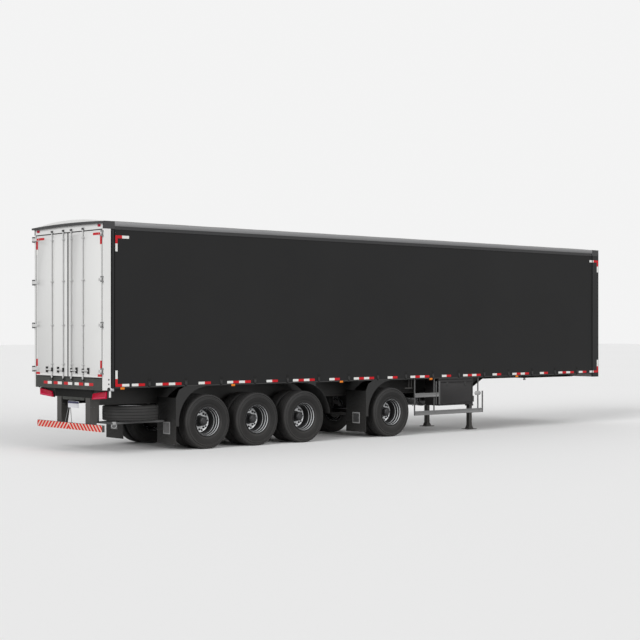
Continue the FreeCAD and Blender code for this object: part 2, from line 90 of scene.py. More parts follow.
# Small steps used all over, each the same as in the menus
def clearSelection():
    if bpy.context.mode != "OBJECT":
        bpy.ops.object.mode_set(mode="OBJECT")
    bpy.ops.object.select_all(action="DESELECT")


def activate(piece):
    clearSelection()
    piece.select_set(True)
    bpy.context.view_layer.objects.active = piece


def startEdit(piece):
    activate(piece)
    bpy.ops.object.mode_set(mode="EDIT")


def endEdit():
    bpy.ops.object.mode_set(mode="OBJECT")


def settle(name):
    # The piece in hand gets its name, and its place goes into its mesh
    piece = bpy.context.object
    piece.name = name
    bpy.ops.object.transform_apply(location=True, rotation=True, scale=True)
    return piece


def startBox(name, low, high):
    clearSelection()
    low, high = Vector(low), Vector(high)
    bpy.ops.mesh.primitive_cube_add(size=1, location=(low + high) / 2, scale=high - low)
    return settle(name)


def startRod(name, start, end, radius, around=16, endRadius=None):
    clearSelection()
    start, end = Vector(start), Vector(end)
    way = end - start
    bpy.ops.mesh.primitive_cone_add(vertices=around, radius1=radius, depth=way.length,
                                    radius2=radius if endRadius is None else endRadius,
                                    location=(start + end) / 2,
                                    rotation=way.to_track_quat("Z", "Y").to_euler())
    return settle(name)


def startGrid(name, columns, rows, middle, size, tilt=0):
    clearSelection()
    bpy.ops.mesh.primitive_grid_add(x_subdivisions=columns, y_subdivisions=rows, size=1, location=middle,
                                    rotation=(tilt, 0, 0))
    bpy.context.object.scale = (*size, 1)
    return settle(name)


def startLine(name, points):
    # A bare line through the points, drawn by extruding its last point
    clearSelection()
    bpy.ops.mesh.primitive_plane_add(size=0.01, location=points[0])
    piece = settle(name)
    startEdit(piece)
    bpy.ops.mesh.select_mode(type="VERT")
    bpy.ops.mesh.select_all(action="SELECT")
    bpy.ops.mesh.merge(type="CENTER")
    for here, there in zip(points, points[1:]):
        bpy.ops.mesh.extrude_vertices_move(TRANSFORM_OT_translate={"value": Vector(there) - Vector(here)})
    bpy.ops.mesh.select_all(action="SELECT")
    return piece


def moved(outline, first, second):
    return [(first + along, second + across) for along, across in outline]


def fromX(x, corners):
    # Corners that are given with their distance from x
    return [(x + along, y, z) for along, y, z in corners]


def facesOut():
    bpy.ops.mesh.select_all(action="SELECT")
    bpy.ops.mesh.remove_doubles(threshold=0.00002)
    bpy.ops.mesh.normals_make_consistent(inside=False)


def startSlab(name, axis, place, outline, reach):
    # A flat outline across an axis, extruded along it. Each point gives the two other places, in order
    number = "XYZ".index(axis)
    piece = startLine(name, [(*point[:number], place, *point[number:]) for point in outline])
    bpy.ops.mesh.edge_face_add()
    push = [0, 0, 0]
    push[number] = reach
    bpy.ops.mesh.extrude_region_move(TRANSFORM_OT_translate={"value": push})
    facesOut()
    endEdit()
    return piece


def spun(name, outline, centre=(0, 0, 0), axis="Y", steps=48, closed=False):
    # An outline of (distance along the axis, radius) points, spun about the axis
    along = {"X": Vector((1, 0, 0)), "Y": Vector((0, 1, 0)), "Z": Vector((0, 0, 1))}[axis]
    across = Vector((1, 0, 0)) if axis == "Z" else Vector((0, 0, 1))
    piece = startLine(name, [Vector(centre) + along * reach + across * radius for reach, radius in outline])
    if closed:
        bpy.ops.mesh.edge_face_add()
        bpy.ops.mesh.delete(type="ONLY_FACE")
        bpy.ops.mesh.select_all(action="SELECT")
    bpy.ops.mesh.spin(steps=steps, angle=2 * pi, center=centre, axis=along)
    facesOut()
    endEdit()
    return piece


def pickFaces(piece, test):
    # In edit mode: the faces whose middle and normal pass the test
    bpy.ops.mesh.select_mode(type="FACE")
    bpy.ops.mesh.select_all(action="DESELECT")
    shape = bmesh.from_edit_mesh(piece.data)
    for face in shape.faces:
        face.select_set(bool(test(face.calc_center_median(), face.normal)))
    bmesh.update_edit_mesh(piece.data)


def insetAndPush(piece, side, steps):
    # The side is an axis and a way along it, 0 for both ways. Each step is (inset, push along the normal)
    axis, way = side

    def onSide(centre, normal):
        along = normal["XYZ".index(axis)]
        return along * way > 0.9 if way else abs(along) > 0.9

    startEdit(piece)
    pickFaces(piece, onSide)
    for inset, push in steps:
        bpy.ops.mesh.inset(thickness=inset, depth=push)
    endEdit()


def shapeWith(piece, kind, **settings):
    activate(piece)
    bpy.ops.object.modifier_add(type=kind)
    modifier = piece.modifiers[-1]
    for key, value in settings.items():
        setattr(modifier, key, value)
    bpy.ops.object.modifier_apply(modifier=modifier.name)
    return piece


def soften(piece, width, segments=2):
    return shapeWith(piece, "BEVEL", width=width, segments=segments, limit_method="ANGLE",
                     angle_limit=radians(40))


def softBox(name, low, high, width, segments=2):
    return soften(startBox(name, low, high), width, segments)


def framedBox(name, low, high, side, steps, width, segments=2):
    # A box with a stepped frame on one side or on an opposite pair
    piece = startBox(name, low, high)
    insetAndPush(piece, side, steps)
    return soften(piece, width, segments)


def repeat(piece, count, shift):
    return shapeWith(piece, "ARRAY", count=count, use_relative_offset=False, use_constant_offset=True,
                     constant_offset_displace=shift)


def cutWith(piece, cutter):
    shapeWith(piece, "BOOLEAN", operation="DIFFERENCE", solver="EXACT", object=cutter)
    bpy.data.objects.remove(cutter)
    return piece


def copyPiece(piece, name, shift=(0, 0, 0), turn=(0, 0, 0), flip=(1, 1, 1)):
    activate(piece)
    bpy.ops.object.duplicate(linked=False)
    made = bpy.context.object
    made.location = shift
    made.rotation_euler = turn
    made.scale = flip
    settle(name)
    if flip[0] * flip[1] * flip[2] < 0:
        startEdit(made)
        bpy.ops.mesh.select_all(action="SELECT")
        bpy.ops.mesh.normals_make_consistent(inside=False)
        endEdit()
    return made


def joined(name, pieces):
    activate(pieces[0])
    for piece in pieces[1:]:
        piece.select_set(True)
    if len(pieces) > 1:
        bpy.ops.object.join()
    made = bpy.context.object
    made.name = name
    return made


def discard(*models):
    for model in models:
        bpy.data.objects.remove(model)


def finish(piece, finishName, body="root", stands=(), angle=35):
    # Material, shading, body, and the nodes that the piece stands for
    activate(piece)
    bpy.ops.object.shade_smooth_by_angle(angle=radians(angle))
    piece.data.materials.clear()
    piece.data.materials.append(finishes[finishName])
    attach(piece, body)
    if stands:
        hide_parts(*stands)
    return piece


def bothSides(model, name, finishName, stands=()):
    # The model, drawn on the left, is copied to the left and mirrored to the right of the frame
    for sideName, side in sides:
        finish(copyPiece(model, name + sideName, flip=(1, side, 1)), finishName, "root", stands)
    discard(model)


# Materials. A look is the (tree, shader, coordinates) of a material in the making
finishes = {}


def addNode(tree, kind, **values):
    node = tree.nodes.new("ShaderNode" + kind)
    for key, value in values.items():
        key = key.replace("_", " ") if key[0].isupper() else key
        if key in node.inputs:
            node.inputs[key].default_value = value
        else:
            setattr(node, key, value)
    return node


def join(tree, fromNode, output, toNode, socket):
    tree.links.new(fromNode.outputs[output], toNode.inputs[socket])


def worked(tree, operation, *values):
    # A sum on values, each of them a number or a (node, output)
    made = addNode(tree, "Math", operation=operation)
    for socket, value in enumerate(values):
        if isinstance(value, tuple):
            join(tree, *value, made, socket)
        else:
            made.inputs[socket].default_value = value
    return made


def startFinish(name, sockets):
    made = bpy.data.materials.new(name)
    made.use_nodes = True
    tree = made.node_tree
    shader = tree.nodes["Principled BSDF"]
    for socket, value in sockets.items():
        shader.inputs[socket].default_value = value
    finishes[name] = made
    return tree, shader, addNode(tree, "TexCoord")


def tones(tree, fromNode, output, stops):
    # A colour ramp from (place, colour) stops
    ramp = addNode(tree, "ValToRGB")
    while len(ramp.color_ramp.elements) < len(stops):
        ramp.color_ramp.elements.new(0.5)
    for element, (place, colour) in zip(ramp.color_ramp.elements, stops):
        element.position = place
        element.color = (*colour, 1)
    join(tree, fromNode, output, ramp, "Fac")
    return ramp


def shaded(colour, by):
    return tuple(max(0.0, channel * by) for channel in colour)


def grey(tone):
    return tone, tone, tone


def patterned(look, kind, stretch=None, **values):
    # A pattern laid on the object, drawn out by the stretch
    tree, place = look[0], look[2]
    made = addNode(tree, kind, **values)
    if stretch:
        turned = addNode(tree, "Mapping", Scale=stretch)
        join(tree, place, "Object", turned, "Vector")
        join(tree, turned, "Vector", made, "Vector")
    else:
        join(tree, place, "Object", made, "Vector")
    return made


def heights(look):
    # The places along X, Y and Z, for a finish that changes with one of them
    parts = addNode(look[0], "SeparateXYZ")
    join(look[0], look[2], "Object", parts, "Vector")
    return parts


def colourBy(look, pattern, output, stops):
    ramp = tones(look[0], pattern, output, stops)
    join(look[0], ramp, "Color", look[1], "Base Color")


def glossBy(look, pattern, output, low, high):
    gloss = addNode(look[0], "MapRange", To_Min=low, To_Max=high)
    join(look[0], pattern, output, gloss, "Value")
    join(look[0], gloss, "Result", look[1], "Roughness")


def reliefBy(look, pattern, output, strength, depth):
    relief = addNode(look[0], "Bump", Strength=strength, Distance=depth)
    join(look[0], pattern, output, relief, "Height")
    join(look[0], relief, "Normal", look[1], "Normal")


def surfaceFinish(name, colour, rough=0.5, metal=0.0, spread=0.12, broad=1.3, fine=90, bump=0.12,
                  stretch=(1, 1, 1), dust=0.0, coat=0.0, shine=0.4):
    # Paint, metal or moulding: slow changes of tone, fine grain in gloss and relief, dust towards the road
    look = startFinish(name, {"Metallic": metal, "Coat Weight": coat, "Coat Roughness": 0.15,
                              "Specular IOR Level": shine})
    tree, shader = look[:2]
    slow = patterned(look, "TexNoise", stretch, Scale=broad, Detail=5, Roughness=0.6)
    ramp = tones(tree, slow, "Fac", [(0.3, shaded(colour, 1 - spread)), (0.5, colour),
                                     (0.72, shaded(colour, 1 + spread))])
    grain = patterned(look, "TexNoise", stretch, Scale=fine, Detail=4, Roughness=0.65)
    glossBy(look, grain, "Fac", rough - 0.1, rough + 0.1)
    reliefBy(look, grain, "Fac", bump, 0.001)
    if not dust:
        join(tree, ramp, "Color", shader, "Base Color")
        return
    height = addNode(tree, "MapRange", From_Min=0.0, From_Max=1.1, To_Min=dust, To_Max=0.0)
    join(tree, heights(look), "Z", height, "Value")
    blend = addNode(tree, "MixRGB", Color2=(0.16, 0.145, 0.125, 1))
    join(tree, worked(tree, "MULTIPLY", (height, "Result"), (slow, "Fac")), "Value", blend, "Fac")
    join(tree, ramp, "Color", blend, "Color1")
    join(tree, blend, "Color", shader, "Base Color")


def clothFinish(name, colour, rough, threads, shine, bump=0.18):
    # Coated cloth: the weave shows faintly through the coating
    look = startFinish(name, {"Roughness": rough, "Specular IOR Level": shine})
    slow = patterned(look, "TexNoise", Scale=0.45, Detail=4, Roughness=0.55)
    colourBy(look, slow, "Fac", [(0.3, shaded(colour, 0.94)), (0.7, shaded(colour, 1.07))])
    warp, weft = [patterned(look, "TexWave", bands_direction=direction, Scale=threads, Distortion=0.3,
                            Detail=1) for direction in ("X", "Z")]
    reliefBy(look, worked(look[0], "ADD", (warp, "Fac"), (weft, "Fac")), "Value", bump, 0.0004)


def stripeFinish(name, first, second, stripes):
    # Diagonal bands that run down and outwards from the middle, on a prismatic sheet
    look = startFinish(name, {"Roughness": stripes["rough"], "Specular IOR Level": 0.15})
    tree, shader = look[:2]
    parts = heights(look)
    away = worked(tree, "ABSOLUTE", (parts, "Y"))
    slant = worked(tree, "ADD", (away, "Value"), (parts, "Z"))
    bands = worked(tree, "MULTIPLY_ADD", (slant, "Value"), 1 / stripes["pitch"],
                   10 - stripes["start"] / stripes["pitch"])
    share = worked(tree, "FRACT", (bands, "Value"))
    split = worked(tree, "GREATER_THAN", (share, "Value"), stripes["share"])
    blend = addNode(tree, "MixRGB", Color1=(*first, 1), Color2=(*second, 1))
    join(tree, split, "Value", blend, "Fac")
    join(tree, blend, "Color", shader, "Base Color")
    reliefBy(look, patterned(look, "TexVoronoi", Scale=160), "Distance", 0.08, 0.0006)


def tapeFinish(name, colour):
    look = startFinish(name, {"Roughness": 0.3, "Specular IOR Level": 0.2})
    cells = patterned(look, "TexVoronoi", Scale=210)
    reliefBy(look, cells, "Distance", 0.12, 0.0006)
    colourBy(look, cells, "Distance", [(0.0, shaded(colour, 0.86)), (0.6, shaded(colour, 1.08))])


def lensFinish(name, colour):
    # Moulded lens: fine flutes under a clear skin
    look = startFinish(name, {"Roughness": 0.35, "Specular IOR Level": 0.08})
    flute = patterned(look, "TexWave", bands_direction="Y", Scale=120, Distortion=0.1)
    colourBy(look, flute, "Fac", [(0.0, shaded(colour, 0.9)), (1.0, shaded(colour, 1.06))])
    reliefBy(look, flute, "Fac", 0.08, 0.0005)


def railFinish(name, upper, lower, split):
    # Drawn aluminium above, with painted shade darkening it towards its lower edge where its rounded profile
    # turns away from the light, and a dark lip under it
    look = startFinish(name, {"Specular IOR Level": 0.3})
    tree, shader = look[:2]
    height = addNode(tree, "MapRange", From_Min=split - 0.002, From_Max=split + 0.090)
    join(tree, heights(look), "Z", height, "Value")
    # painted shade: half the aluminium's tone just above the lip, rising to its full tone at the top
    colourBy(look, height, "Result", [(0.0, lower), (0.02, shaded(upper, 0.5)), (1.0, upper)])
    share = worked(tree, "GREATER_THAN", (height, "Result"), 0.01)
    join(tree, worked(tree, "MULTIPLY", (share, "Value"), 0.6), "Value", shader, "Metallic")
    glossBy(look, patterned(look, "TexNoise", (0.02, 1, 1), Scale=260, Detail=4), "Fac", 0.3, 0.45)


def zincFinish(name, colour):
    # Hot-dip zinc: spangled patches of slightly different grey
    look = startFinish(name, {"Metallic": 0.85})
    spangle = patterned(look, "TexVoronoi", Scale=55)
    colourBy(look, spangle, "Distance", [(0.0, shaded(colour, 0.8)), (0.8, shaded(colour, 1.15))])
    glossBy(look, spangle, "Distance", 0.32, 0.52)
    reliefBy(look, spangle, "Distance", 0.1, 0.0006)


def boardFinish(name, light, dark):
    # Coated plywood: long grain along the load space
    look = startFinish(name, {"Coat Weight": 0.15})
    grain = patterned(look, "TexNoise", (0.6, 9, 9), Scale=3.5, Detail=8, Roughness=0.6, Distortion=0.8)
    colourBy(look, grain, "Fac", [(0.3, dark), (0.52, light), (0.75, shaded(light, 1.2))])
    glossBy(look, grain, "Fac", 0.45, 0.7)
    reliefBy(look, grain, "Fac", 0.2, 0.001)


def makeFinishes():
    # Cloth and white paint
    clothFinish("curtainCloth", (0.0180, 0.0180, 0.0183), 0.62, 230, 0.1)
    clothFinish("roofCloth", (0.58, 0.58, 0.565), 0.6, 180, 0.3, bump=0.12)
    gloss = {"fine": 160, "bump": 0.03}
    surfaceFinish("doorWhite", (0.70, 0.70, 0.69), rough=0.32, spread=0.015, broad=0.8, coat=0.2, **gloss)
    surfaceFinish("frameWhite", (0.72, 0.72, 0.71), rough=0.32, spread=0.02, coat=0.2, **gloss)
    # painted light: the header's white is lighter than the doors', to lift the shade the roof rim casts on it
    surfaceFinish("headerLitWhite", (0.74, 0.74, 0.73), rough=0.36, spread=0.02, coat=0.1, **gloss)
    surfaceFinish("wallWhite", (0.66, 0.66, 0.65), rough=0.38, spread=0.03, fine=120, bump=0.04)
    surfaceFinish("plateWhite", (0.62, 0.62, 0.65), rough=0.35, spread=0.02, fine=200, bump=0.03)
    surfaceFinish("plateBlue", (0.010, 0.010, 0.055), rough=0.35, spread=0.04, fine=200, bump=0.03)
    # Frame and underframe
    surfaceFinish("chassisBlack", (0.026, 0.0255, 0.025), rough=0.45, spread=0.18, dust=0.3, coat=0.05,
                  shine=0.3)
    surfaceFinish("sillGrey", (0.046, 0.048, 0.044), rough=0.55, spread=0.2, broad=6, fine=60, bump=0.25,
                  shine=0.2)
    surfaceFinish("stayGrey", (0.055, 0.053, 0.05), rough=0.5, spread=0.15, dust=0.15, shine=0.3)
    surfaceFinish("postGrey", (0.0130, 0.0130, 0.0135), rough=0.45, spread=0.06, shine=0.2)
    surfaceFinish("coverBlack", (0.0055, 0.0055, 0.0052), rough=0.6, spread=0.2, broad=4, fine=120,
                  shine=0.12)
    surfaceFinish("capBlack", (0.038, 0.038, 0.039), rough=0.5, spread=0.1, fine=140, shine=0.3)
    railFinish("railAluminium", (0.28, 0.28, 0.285), (0.026, 0.026, 0.027), 4.325)
    zincFinish("zinc", (0.42, 0.43, 0.44))
    zincFinish("zincDull", grey(0.15))
    # painted shade: the doors' white darkened to light grey on the lock bars, their fittings and the hinge
    # straps
    surfaceFinish("barShadedWhite", (0.54, 0.54, 0.535), rough=0.32, metal=0.1, spread=0.03, bump=0.03)
    surfaceFinish("steel", (0.26, 0.26, 0.27), rough=0.33, metal=0.9, spread=0.15, broad=4, fine=120)
    surfaceFinish("tankBlack", grey(0.030), rough=0.16, spread=0.1, broad=3, fine=120, bump=0.03, coat=0.6)
    boardFinish("deckBoard", (0.23, 0.15, 0.08), (0.10, 0.062, 0.035))
    # Rubber and wheels
    surfaceFinish("rubber", (0.0245, 0.024, 0.024), rough=0.68, broad=5, fine=240, bump=0.25, dust=0.12,
                  shine=0.28)
    surfaceFinish("sidewallRubber", (0.0095, 0.0092, 0.0092), rough=0.6, spread=0.15, broad=7, fine=200,
                  bump=0.3, dust=0.08, shine=0.25)
    # door seal rubber, partly painted shade for the gap round each door
    surfaceFinish("sealRubberAndGapShade", grey(0.030), rough=0.6, spread=0.1, fine=200, shine=0.2)
    surfaceFinish("bellowRubber", grey(0.017), rough=0.55, spread=0.15, fine=180, dust=0.2, shine=0.3)
    rim = {"broad": 7, "fine": 150, "bump": 0.06}
    # silver paint of the discs, also worn by the painted highlight rings on the barrel steps
    surfaceFinish("rimSilverAndGlints", (0.66, 0.67, 0.68), rough=0.35, metal=0.15, spread=0.06, **rim)
    # painted shade: the barrel and flange near-black for the shade deep in the rim, while the disc of the same
    # wheel is silver
    surfaceFinish("rimBarrelShade", (0.020, 0.020, 0.021), rough=0.4, metal=0.2, spread=0.1, shine=0.3, **rim)
    surfaceFinish("hubBlack", (0.014, 0.014, 0.0145), rough=0.4, metal=0.2, spread=0.2, broad=9, shine=0.3)
    surfaceFinish("hubCap", (0.036, 0.036, 0.038), rough=0.4, metal=0.3, spread=0.15, broad=9)
    surfaceFinish("nutSteel", grey(0.07), rough=0.35, metal=0.6, spread=0.15, broad=30)
    # Guards, box, straps and mouldings
    surfaceFinish("guardPlastic", grey(0.0135), rough=0.6, spread=0.15, fine=110, bump=0.3, dust=0.15,
                  shine=0.3)
    surfaceFinish("guardRail", grey(0.165), rough=0.42, metal=0.3, spread=0.06, fine=220,
                  stretch=(0.05, 1, 1))
    surfaceFinish("guardEnd", grey(0.34), rough=0.4, spread=0.04, fine=220)
    surfaceFinish("guardIron", grey(0.085), rough=0.45, metal=0.2, spread=0.06, fine=220)
    surfaceFinish("boxPlastic", (0.0185, 0.0175, 0.0178), rough=0.55, spread=0.1, fine=190, bump=0.35,
                  shine=0.25)
    surfaceFinish("darkPlastic", grey(0.018), rough=0.45, spread=0.1, fine=150, shine=0.3)
    surfaceFinish("strapWeb", grey(0.012), rough=0.8, spread=0.1, fine=400, bump=0.4, shine=0.2)
    surfaceFinish("flapMark", grey(0.36), rough=0.6, spread=0.08, fine=160, bump=0.2)
    # Tape and lamps
    tapeFinish("tapeWhite", (0.70, 0.70, 0.68))
    tapeFinish("tapeRed", (0.50, 0.006, 0.012))
    lensFinish("lensRed", (0.42, 0.001, 0.026))
    # painted highlight: the pale pink strip along the lamp lens's lower and outer edges
    lensFinish("lensGlintPink", (0.60, 0.050, 0.120))
    lensFinish("lensAmber", (0.72, 0.20, 0.02))
    lensFinish("lensClear", (0.62, 0.60, 0.62))


makeFinishes()
print("finishes:", len(finishes))

# What each CAD node that stays is finished with; the rest of the underframe is chassisBlack
nodeFinish = {
    "floor": "deckBoard", "headboard": "wallWhite", "front_posts": "postGrey", "rear_posts": "frameWhite",
    "rear_header": "headerLitWhite", "top_caps": "capBlack", "rear_sill": "sillGrey",
    "roof_rails": "railAluminium", "roof_bows": "zinc", "side_pillars": "postGrey", "door_hinges": "zincDull",
    "bumper_supports": "stayGrey", "spare_carrier": "guardIron", "tie_rod": "steel",
    "mudguards": "guardPlastic", "kingpin": "steel"}
for node in nodes.values():
    finishName = nodeFinish.get(node.name, "chassisBlack")
    if node.material_slots:
        for materialSlot in node.material_slots:
            materialSlot.material = finishes[finishName]
    else:
        node.data.materials.append(finishes[finishName])
print("frame nodes finished")


# Curtains: coated cloth, pulled tight between the poles and down to the buckles
curtain = {"columns": 204, "rows": 36, "gauge": 0.0012, "middle": 1.2815, "firstStrap": 1.034,
           "strapPitch": 0.8597, "bulge": 0.0035, "pull": 0.45, "ripple": 0.0016}


def curtainPlace(x, z):
    # Distance of the cloth's middle from the centre plane, at a place along and up the side
    strap = cos(2 * pi * (x - doorFace - curtain["firstStrap"]) / curtain["strapPitch"])
    low = max(0.0, 1 - (z - curtainLow.z) / curtain["pull"])
    wave = sin(1.7 * x + 0.9 * z) * sin(0.8 * z + 0.23 * x) + 0.5 * sin(3.9 * x - 1.3 * z)
    fade = min(1.0, (curtainHigh.z - z) / 0.4, (z - curtainLow.z) / 0.3 + 0.2)
    bulge = curtain["bulge"] * 0.5 * (1 - strap) * low ** 2
    return curtain["middle"] + bulge + curtain["ripple"] * wave * fade


def makeCurtain(name, side, node):
    size = curtainHigh - curtainLow
    middle = (curtainLow + curtainHigh) / 2
    piece = startGrid(name, curtain["columns"], curtain["rows"], (middle.x, 0, middle.z), (size.x, size.z),
                      -side * pi / 2)
    for vertex in piece.data.vertices:
        vertex.co.y = side * curtainPlace(vertex.co.x, vertex.co.z)
    shapeWith(piece, "SOLIDIFY", thickness=curtain["gauge"], offset=0)
    finish(piece, "curtainCloth", stands=[node], angle=60)


for sideName, side in sides:
    makeCurtain("curtainCloth" + sideName, side, "curtain_" + sideName.lower())
print("curtains done")

# Roof: one tarpaulin over the bows, sagging a little between them
roof = {"columns": 244, "rows": 44, "gauge": 0.0012, "lift": 0.004, "sag": 0.012, "firstBow": 0.72,
        "bowPitch": 1.2}


def makeRoof():
    low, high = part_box("roof_sheet")
    reach = high.y
    edge, crown = low.z + roof["lift"], high.z
    radius = (reach ** 2 + (crown - edge) ** 2) / (2 * (crown - edge))
    piece = startGrid("roofCloth", roof["columns"], roof["rows"], ((low.x + high.x) / 2, 0, 0),
                      (high.x - low.x, 2 * reach))
    for vertex in piece.data.vertices:
        x, y, z = vertex.co
        between = sin(pi * (x - doorFace - roof["firstBow"]) / roof["bowPitch"]) ** 2
        middle = 1 - (y / reach) ** 4
        arc = crown - radius + sqrt(radius ** 2 - y ** 2)
        vertex.co.z = arc - roof["gauge"] - roof["sag"] * between * middle
    shapeWith(piece, "SOLIDIFY", thickness=roof["gauge"], offset=0)
    finish(piece, "roofCloth", stands=["roof_sheet"], angle=60)


makeRoof()
print("roof done")

# Retro-reflective tape along the curtains and round the front posts. Runs start at these distances, and
# odd pieces are rows of (colour, ends along the side, ends up it), all from the door
tape = {"length": 0.15, "height": 0.05, "gauge": 0.001, "low": 1.292, "pairPitch": 1.717, "top": 4.10,
        "armHeight": 0.055, "start": 0.016, "edge": 0.0004, "proud": 0.0014, "postProud": 0.0002,
        "fours": (1.168, 8), "pairs": (2.178, 7), "ends": (0.616, 13.98)}


def tapeRows():
    # On the curtain
    rows = []
    low, high, top = tape["low"], tape["low"] + tape["height"], tape["top"]
    step = tape["length"]

    def run(start, colours):
        for number, colour in enumerate(colours):
            rows.append((colour, start + number * step, start + (number + 1) * step, low, high))

    for key, colours in (("fours", ("White", "Red", "White", "Red")), ("pairs", ("White", "Red"))):
        first, count = tape[key]
        for number in range(count):
            run(first + number * tape["pairPitch"], colours)
    for first in tape["ends"]:
        run(first, ("White", "Red"))
    return rows + [
        ("Red", 0.25, 0.40, low, high), ("White", 0.40, 0.56, low, high), ("Red", 0.25, 0.30, high, 1.44),
        ("White", 0.25, 0.30, 1.44, 1.60), ("Red", 0.25, 0.40, top, top + tape["armHeight"]),
        ("White", 0.40, 0.555, top, top + tape["armHeight"]), ("Red", 0.25, 0.30, 4.0, top),
        ("White", 0.25, 0.30, 3.85, 4.0), ("White", 14.41, 14.511, low, high),
        ("White", 14.41, 14.511, top, top + tape["armHeight"])]


def postTapeRows():
    low, high, top = tape["low"], tape["low"] + tape["height"], tape["top"]
    return [("White", 14.532, 14.568, low, high), ("Red", 14.568, 14.755, low, high),
            ("Red", 14.70, 14.755, high, 1.45), ("White", 14.70, 14.755, 1.45, 1.616),
            ("Red", 14.568, 14.755, top, top + tape["armHeight"]),
            ("White", 14.532, 14.568, top, top + tape["armHeight"]),
            ("Red", 14.70, 14.755, 4.0, top), ("White", 14.70, 14.755, 3.85, 4.0)]


def layTape():
    made = {"White": [], "Red": []}

    def lay(rows, start, place):
        for colour, x0, x1, z0, z1 in rows:
            x0, x1 = start + x0, start + x1
            y = place((x0 + x1) / 2, (z0 + z1) / 2)
            made[colour].append(startBox("tape", (x0, y, z0), (x1, y + tape["gauge"], z1)))

    lay(tapeRows(), doorFace + tape["start"], lambda x, z: curtainPlace(x, z) + tape["proud"])
    lay(postTapeRows(), doorFace, lambda x, z: halfWidth + tape["postProud"])
    for colour, pieces in made.items():
        bothSides(soften(joined("tape", pieces), tape["edge"], 1), "tape" + colour, "tape" + colour)


layTape()
print("tape done")

# Buckles along the bottom of the curtains. A part is (half width, depth from and to, height from and to,
# edge)
buckle = {"count": 16, "off": 0.0008, "webHalf": 0.0225,
          "web": ((0, 1.445), (0.0025, 1.44), (0.0025, 1.275), (-0.012, 1.254), (-0.014, 1.257), (0, 1.277)),
          "patch": (0.034, 0, 0.0035, 1.395, 1.448, 0.002),
          "body": (0.029, 0.001, 0.010, 1.300, 1.372, 0.002),
          "lever": (0.021, 0.006, 0.0135, 1.284, 1.345, 0.0025), "hook": (0.026, -0.012, 1.2565, 0.004)}


def makeBuckles():
    out = curtain["middle"] + buckle["off"]
    x = doorFace + curtain["firstStrap"]

    def part(name, steps=()):
        half, y0, y1, z0, z1, edge = buckle[name]
        return framedBox(name, (x - half, out + y0, z0), (x + half, out + y1, z1), ("Y", 1), steps, edge)

    web = startSlab("web", "X", x - buckle["webHalf"], [(out + away, z) for away, z in buckle["web"]],
                    2 * buckle["webHalf"])
    half, away, z, radius = buckle["hook"]
    hook = startRod("hook", (x - half, out + away, z), (x + half, out + away, z), radius, 10)
    body = part("body", [(0.006, 0), (0.003, -0.004)])
    for pieces, name, finishName in (([web, part("patch")], "strapWeb", "strapWeb"),
                                     ([body, part("lever"), hook], "buckle", "darkPlastic")):
        row = repeat(joined("model", pieces), buckle["count"], (curtain["strapPitch"], 0, 0))
        bothSides(row, name, finishName)


makeBuckles()

# Amber lamps under the side rails: distances from the door, and each part's
# (half length, depth from and to, height from and to)
marker = {"places": (0.42, 3.05, 5.97, 8.70, 11.64), "base": (0.053, 1.262, 1.284, 1.230, 1.283),
          "lens": (0.045, 1.284, 1.297, 1.236, 1.278)}


def makeMarkers():
    for key, name, finishName, edge, segments in (("base", "markerBases", "darkPlastic", 0.004, 2),
                                                  ("lens", "markerLenses", "lensAmber", 0.006, 3)):
        half, y0, y1, z0, z1 = marker[key]
        pieces = [startBox(key, (doorFace + place - half, y0, z0), (doorFace + place + half, y1, z1))
                  for place in marker["places"]]
        bothSides(soften(joined(key, pieces), edge, segments), name, finishName)


makeMarkers()
print("buckles and markers done")

# Tyres: one treaded tyre, copied to every place. Half a section runs from the bead to the middle of the
# tread, as (distance from the middle plane, radius); every second field of the shoulder is pushed in
tyre = {"steps": 96, "notch": 0.006, "notchInset": 0.0015, "shoulder": (0.525, 0.543, 0.122),
        "half": ((0.104, 0.288), (0.1125, 0.296), (0.1170, 0.306), (0.1150, 0.311), (0.1290, 0.330),
                 (0.1345, 0.343), (0.1330, 0.347), (0.1380, 0.356), (0.1425, 0.372), (0.1455, 0.395),
                 (0.1474, 0.420), (0.1474, 0.440), (0.1462, 0.453), (0.1410, 0.460), (0.1405, 0.465),
                 (0.1456, 0.473), (0.1450, 0.481), (0.1400, 0.487), (0.1325, 0.491), (0.1315, 0.499),
                 (0.1410, 0.506), (0.1395, 0.517), (0.1350, 0.530), (0.1262, 0.5398), (0.1190, 0.5425),
                 (0.0945, 0.5435), (0.0925, 0.5300), (0.0835, 0.5300), (0.0815, 0.5438), (0.0380, 0.5447),
                 (0.0362, 0.5300), (0.0272, 0.5300), (0.0254, 0.5450)),
        "band": ((0.1335, 0.3470), (0.1388, 0.3560), (0.1432, 0.3720), (0.1463, 0.3950), (0.1474, 0.4040),
                 (0.1486, 0.4050), (0.1486, 0.4080), (0.1476, 0.4090), (0.1481, 0.4200), (0.1481, 0.4400),
                 (0.1488, 0.4420), (0.1478, 0.4455), (0.1468, 0.4520), (0.1440, 0.4500), (0.1455, 0.4380),
                 (0.1455, 0.4200), (0.1435, 0.3950), (0.1405, 0.3740), (0.1330, 0.3500))}


def mirrored(half):
    return [*half, *((-along, radius) for along, radius in reversed(half))]


def makeTyre():
    low, high, out = tyre["shoulder"]

    def onShoulder(centre, normal):
        radius = sqrt(centre.x ** 2 + centre.z ** 2)
        number = int((pi + atan2(centre.z, centre.x)) / (2 * pi) * tyre["steps"])
        return low < radius < high and abs(centre.y) > out and number % 2 == 0

    piece = spun("tyreMaster", mirrored(tyre["half"]), steps=tyre["steps"], closed=True)
    startEdit(piece)
    pickFaces(piece, onShoulder)
    bpy.ops.mesh.inset(thickness=tyre["notchInset"], depth=0, use_individual=False)
    bpy.ops.mesh.extrude_region_shrink_fatten(TRANSFORM_OT_shrink_fatten={"value": -tyre["notch"]})
    endEdit()
    return piece


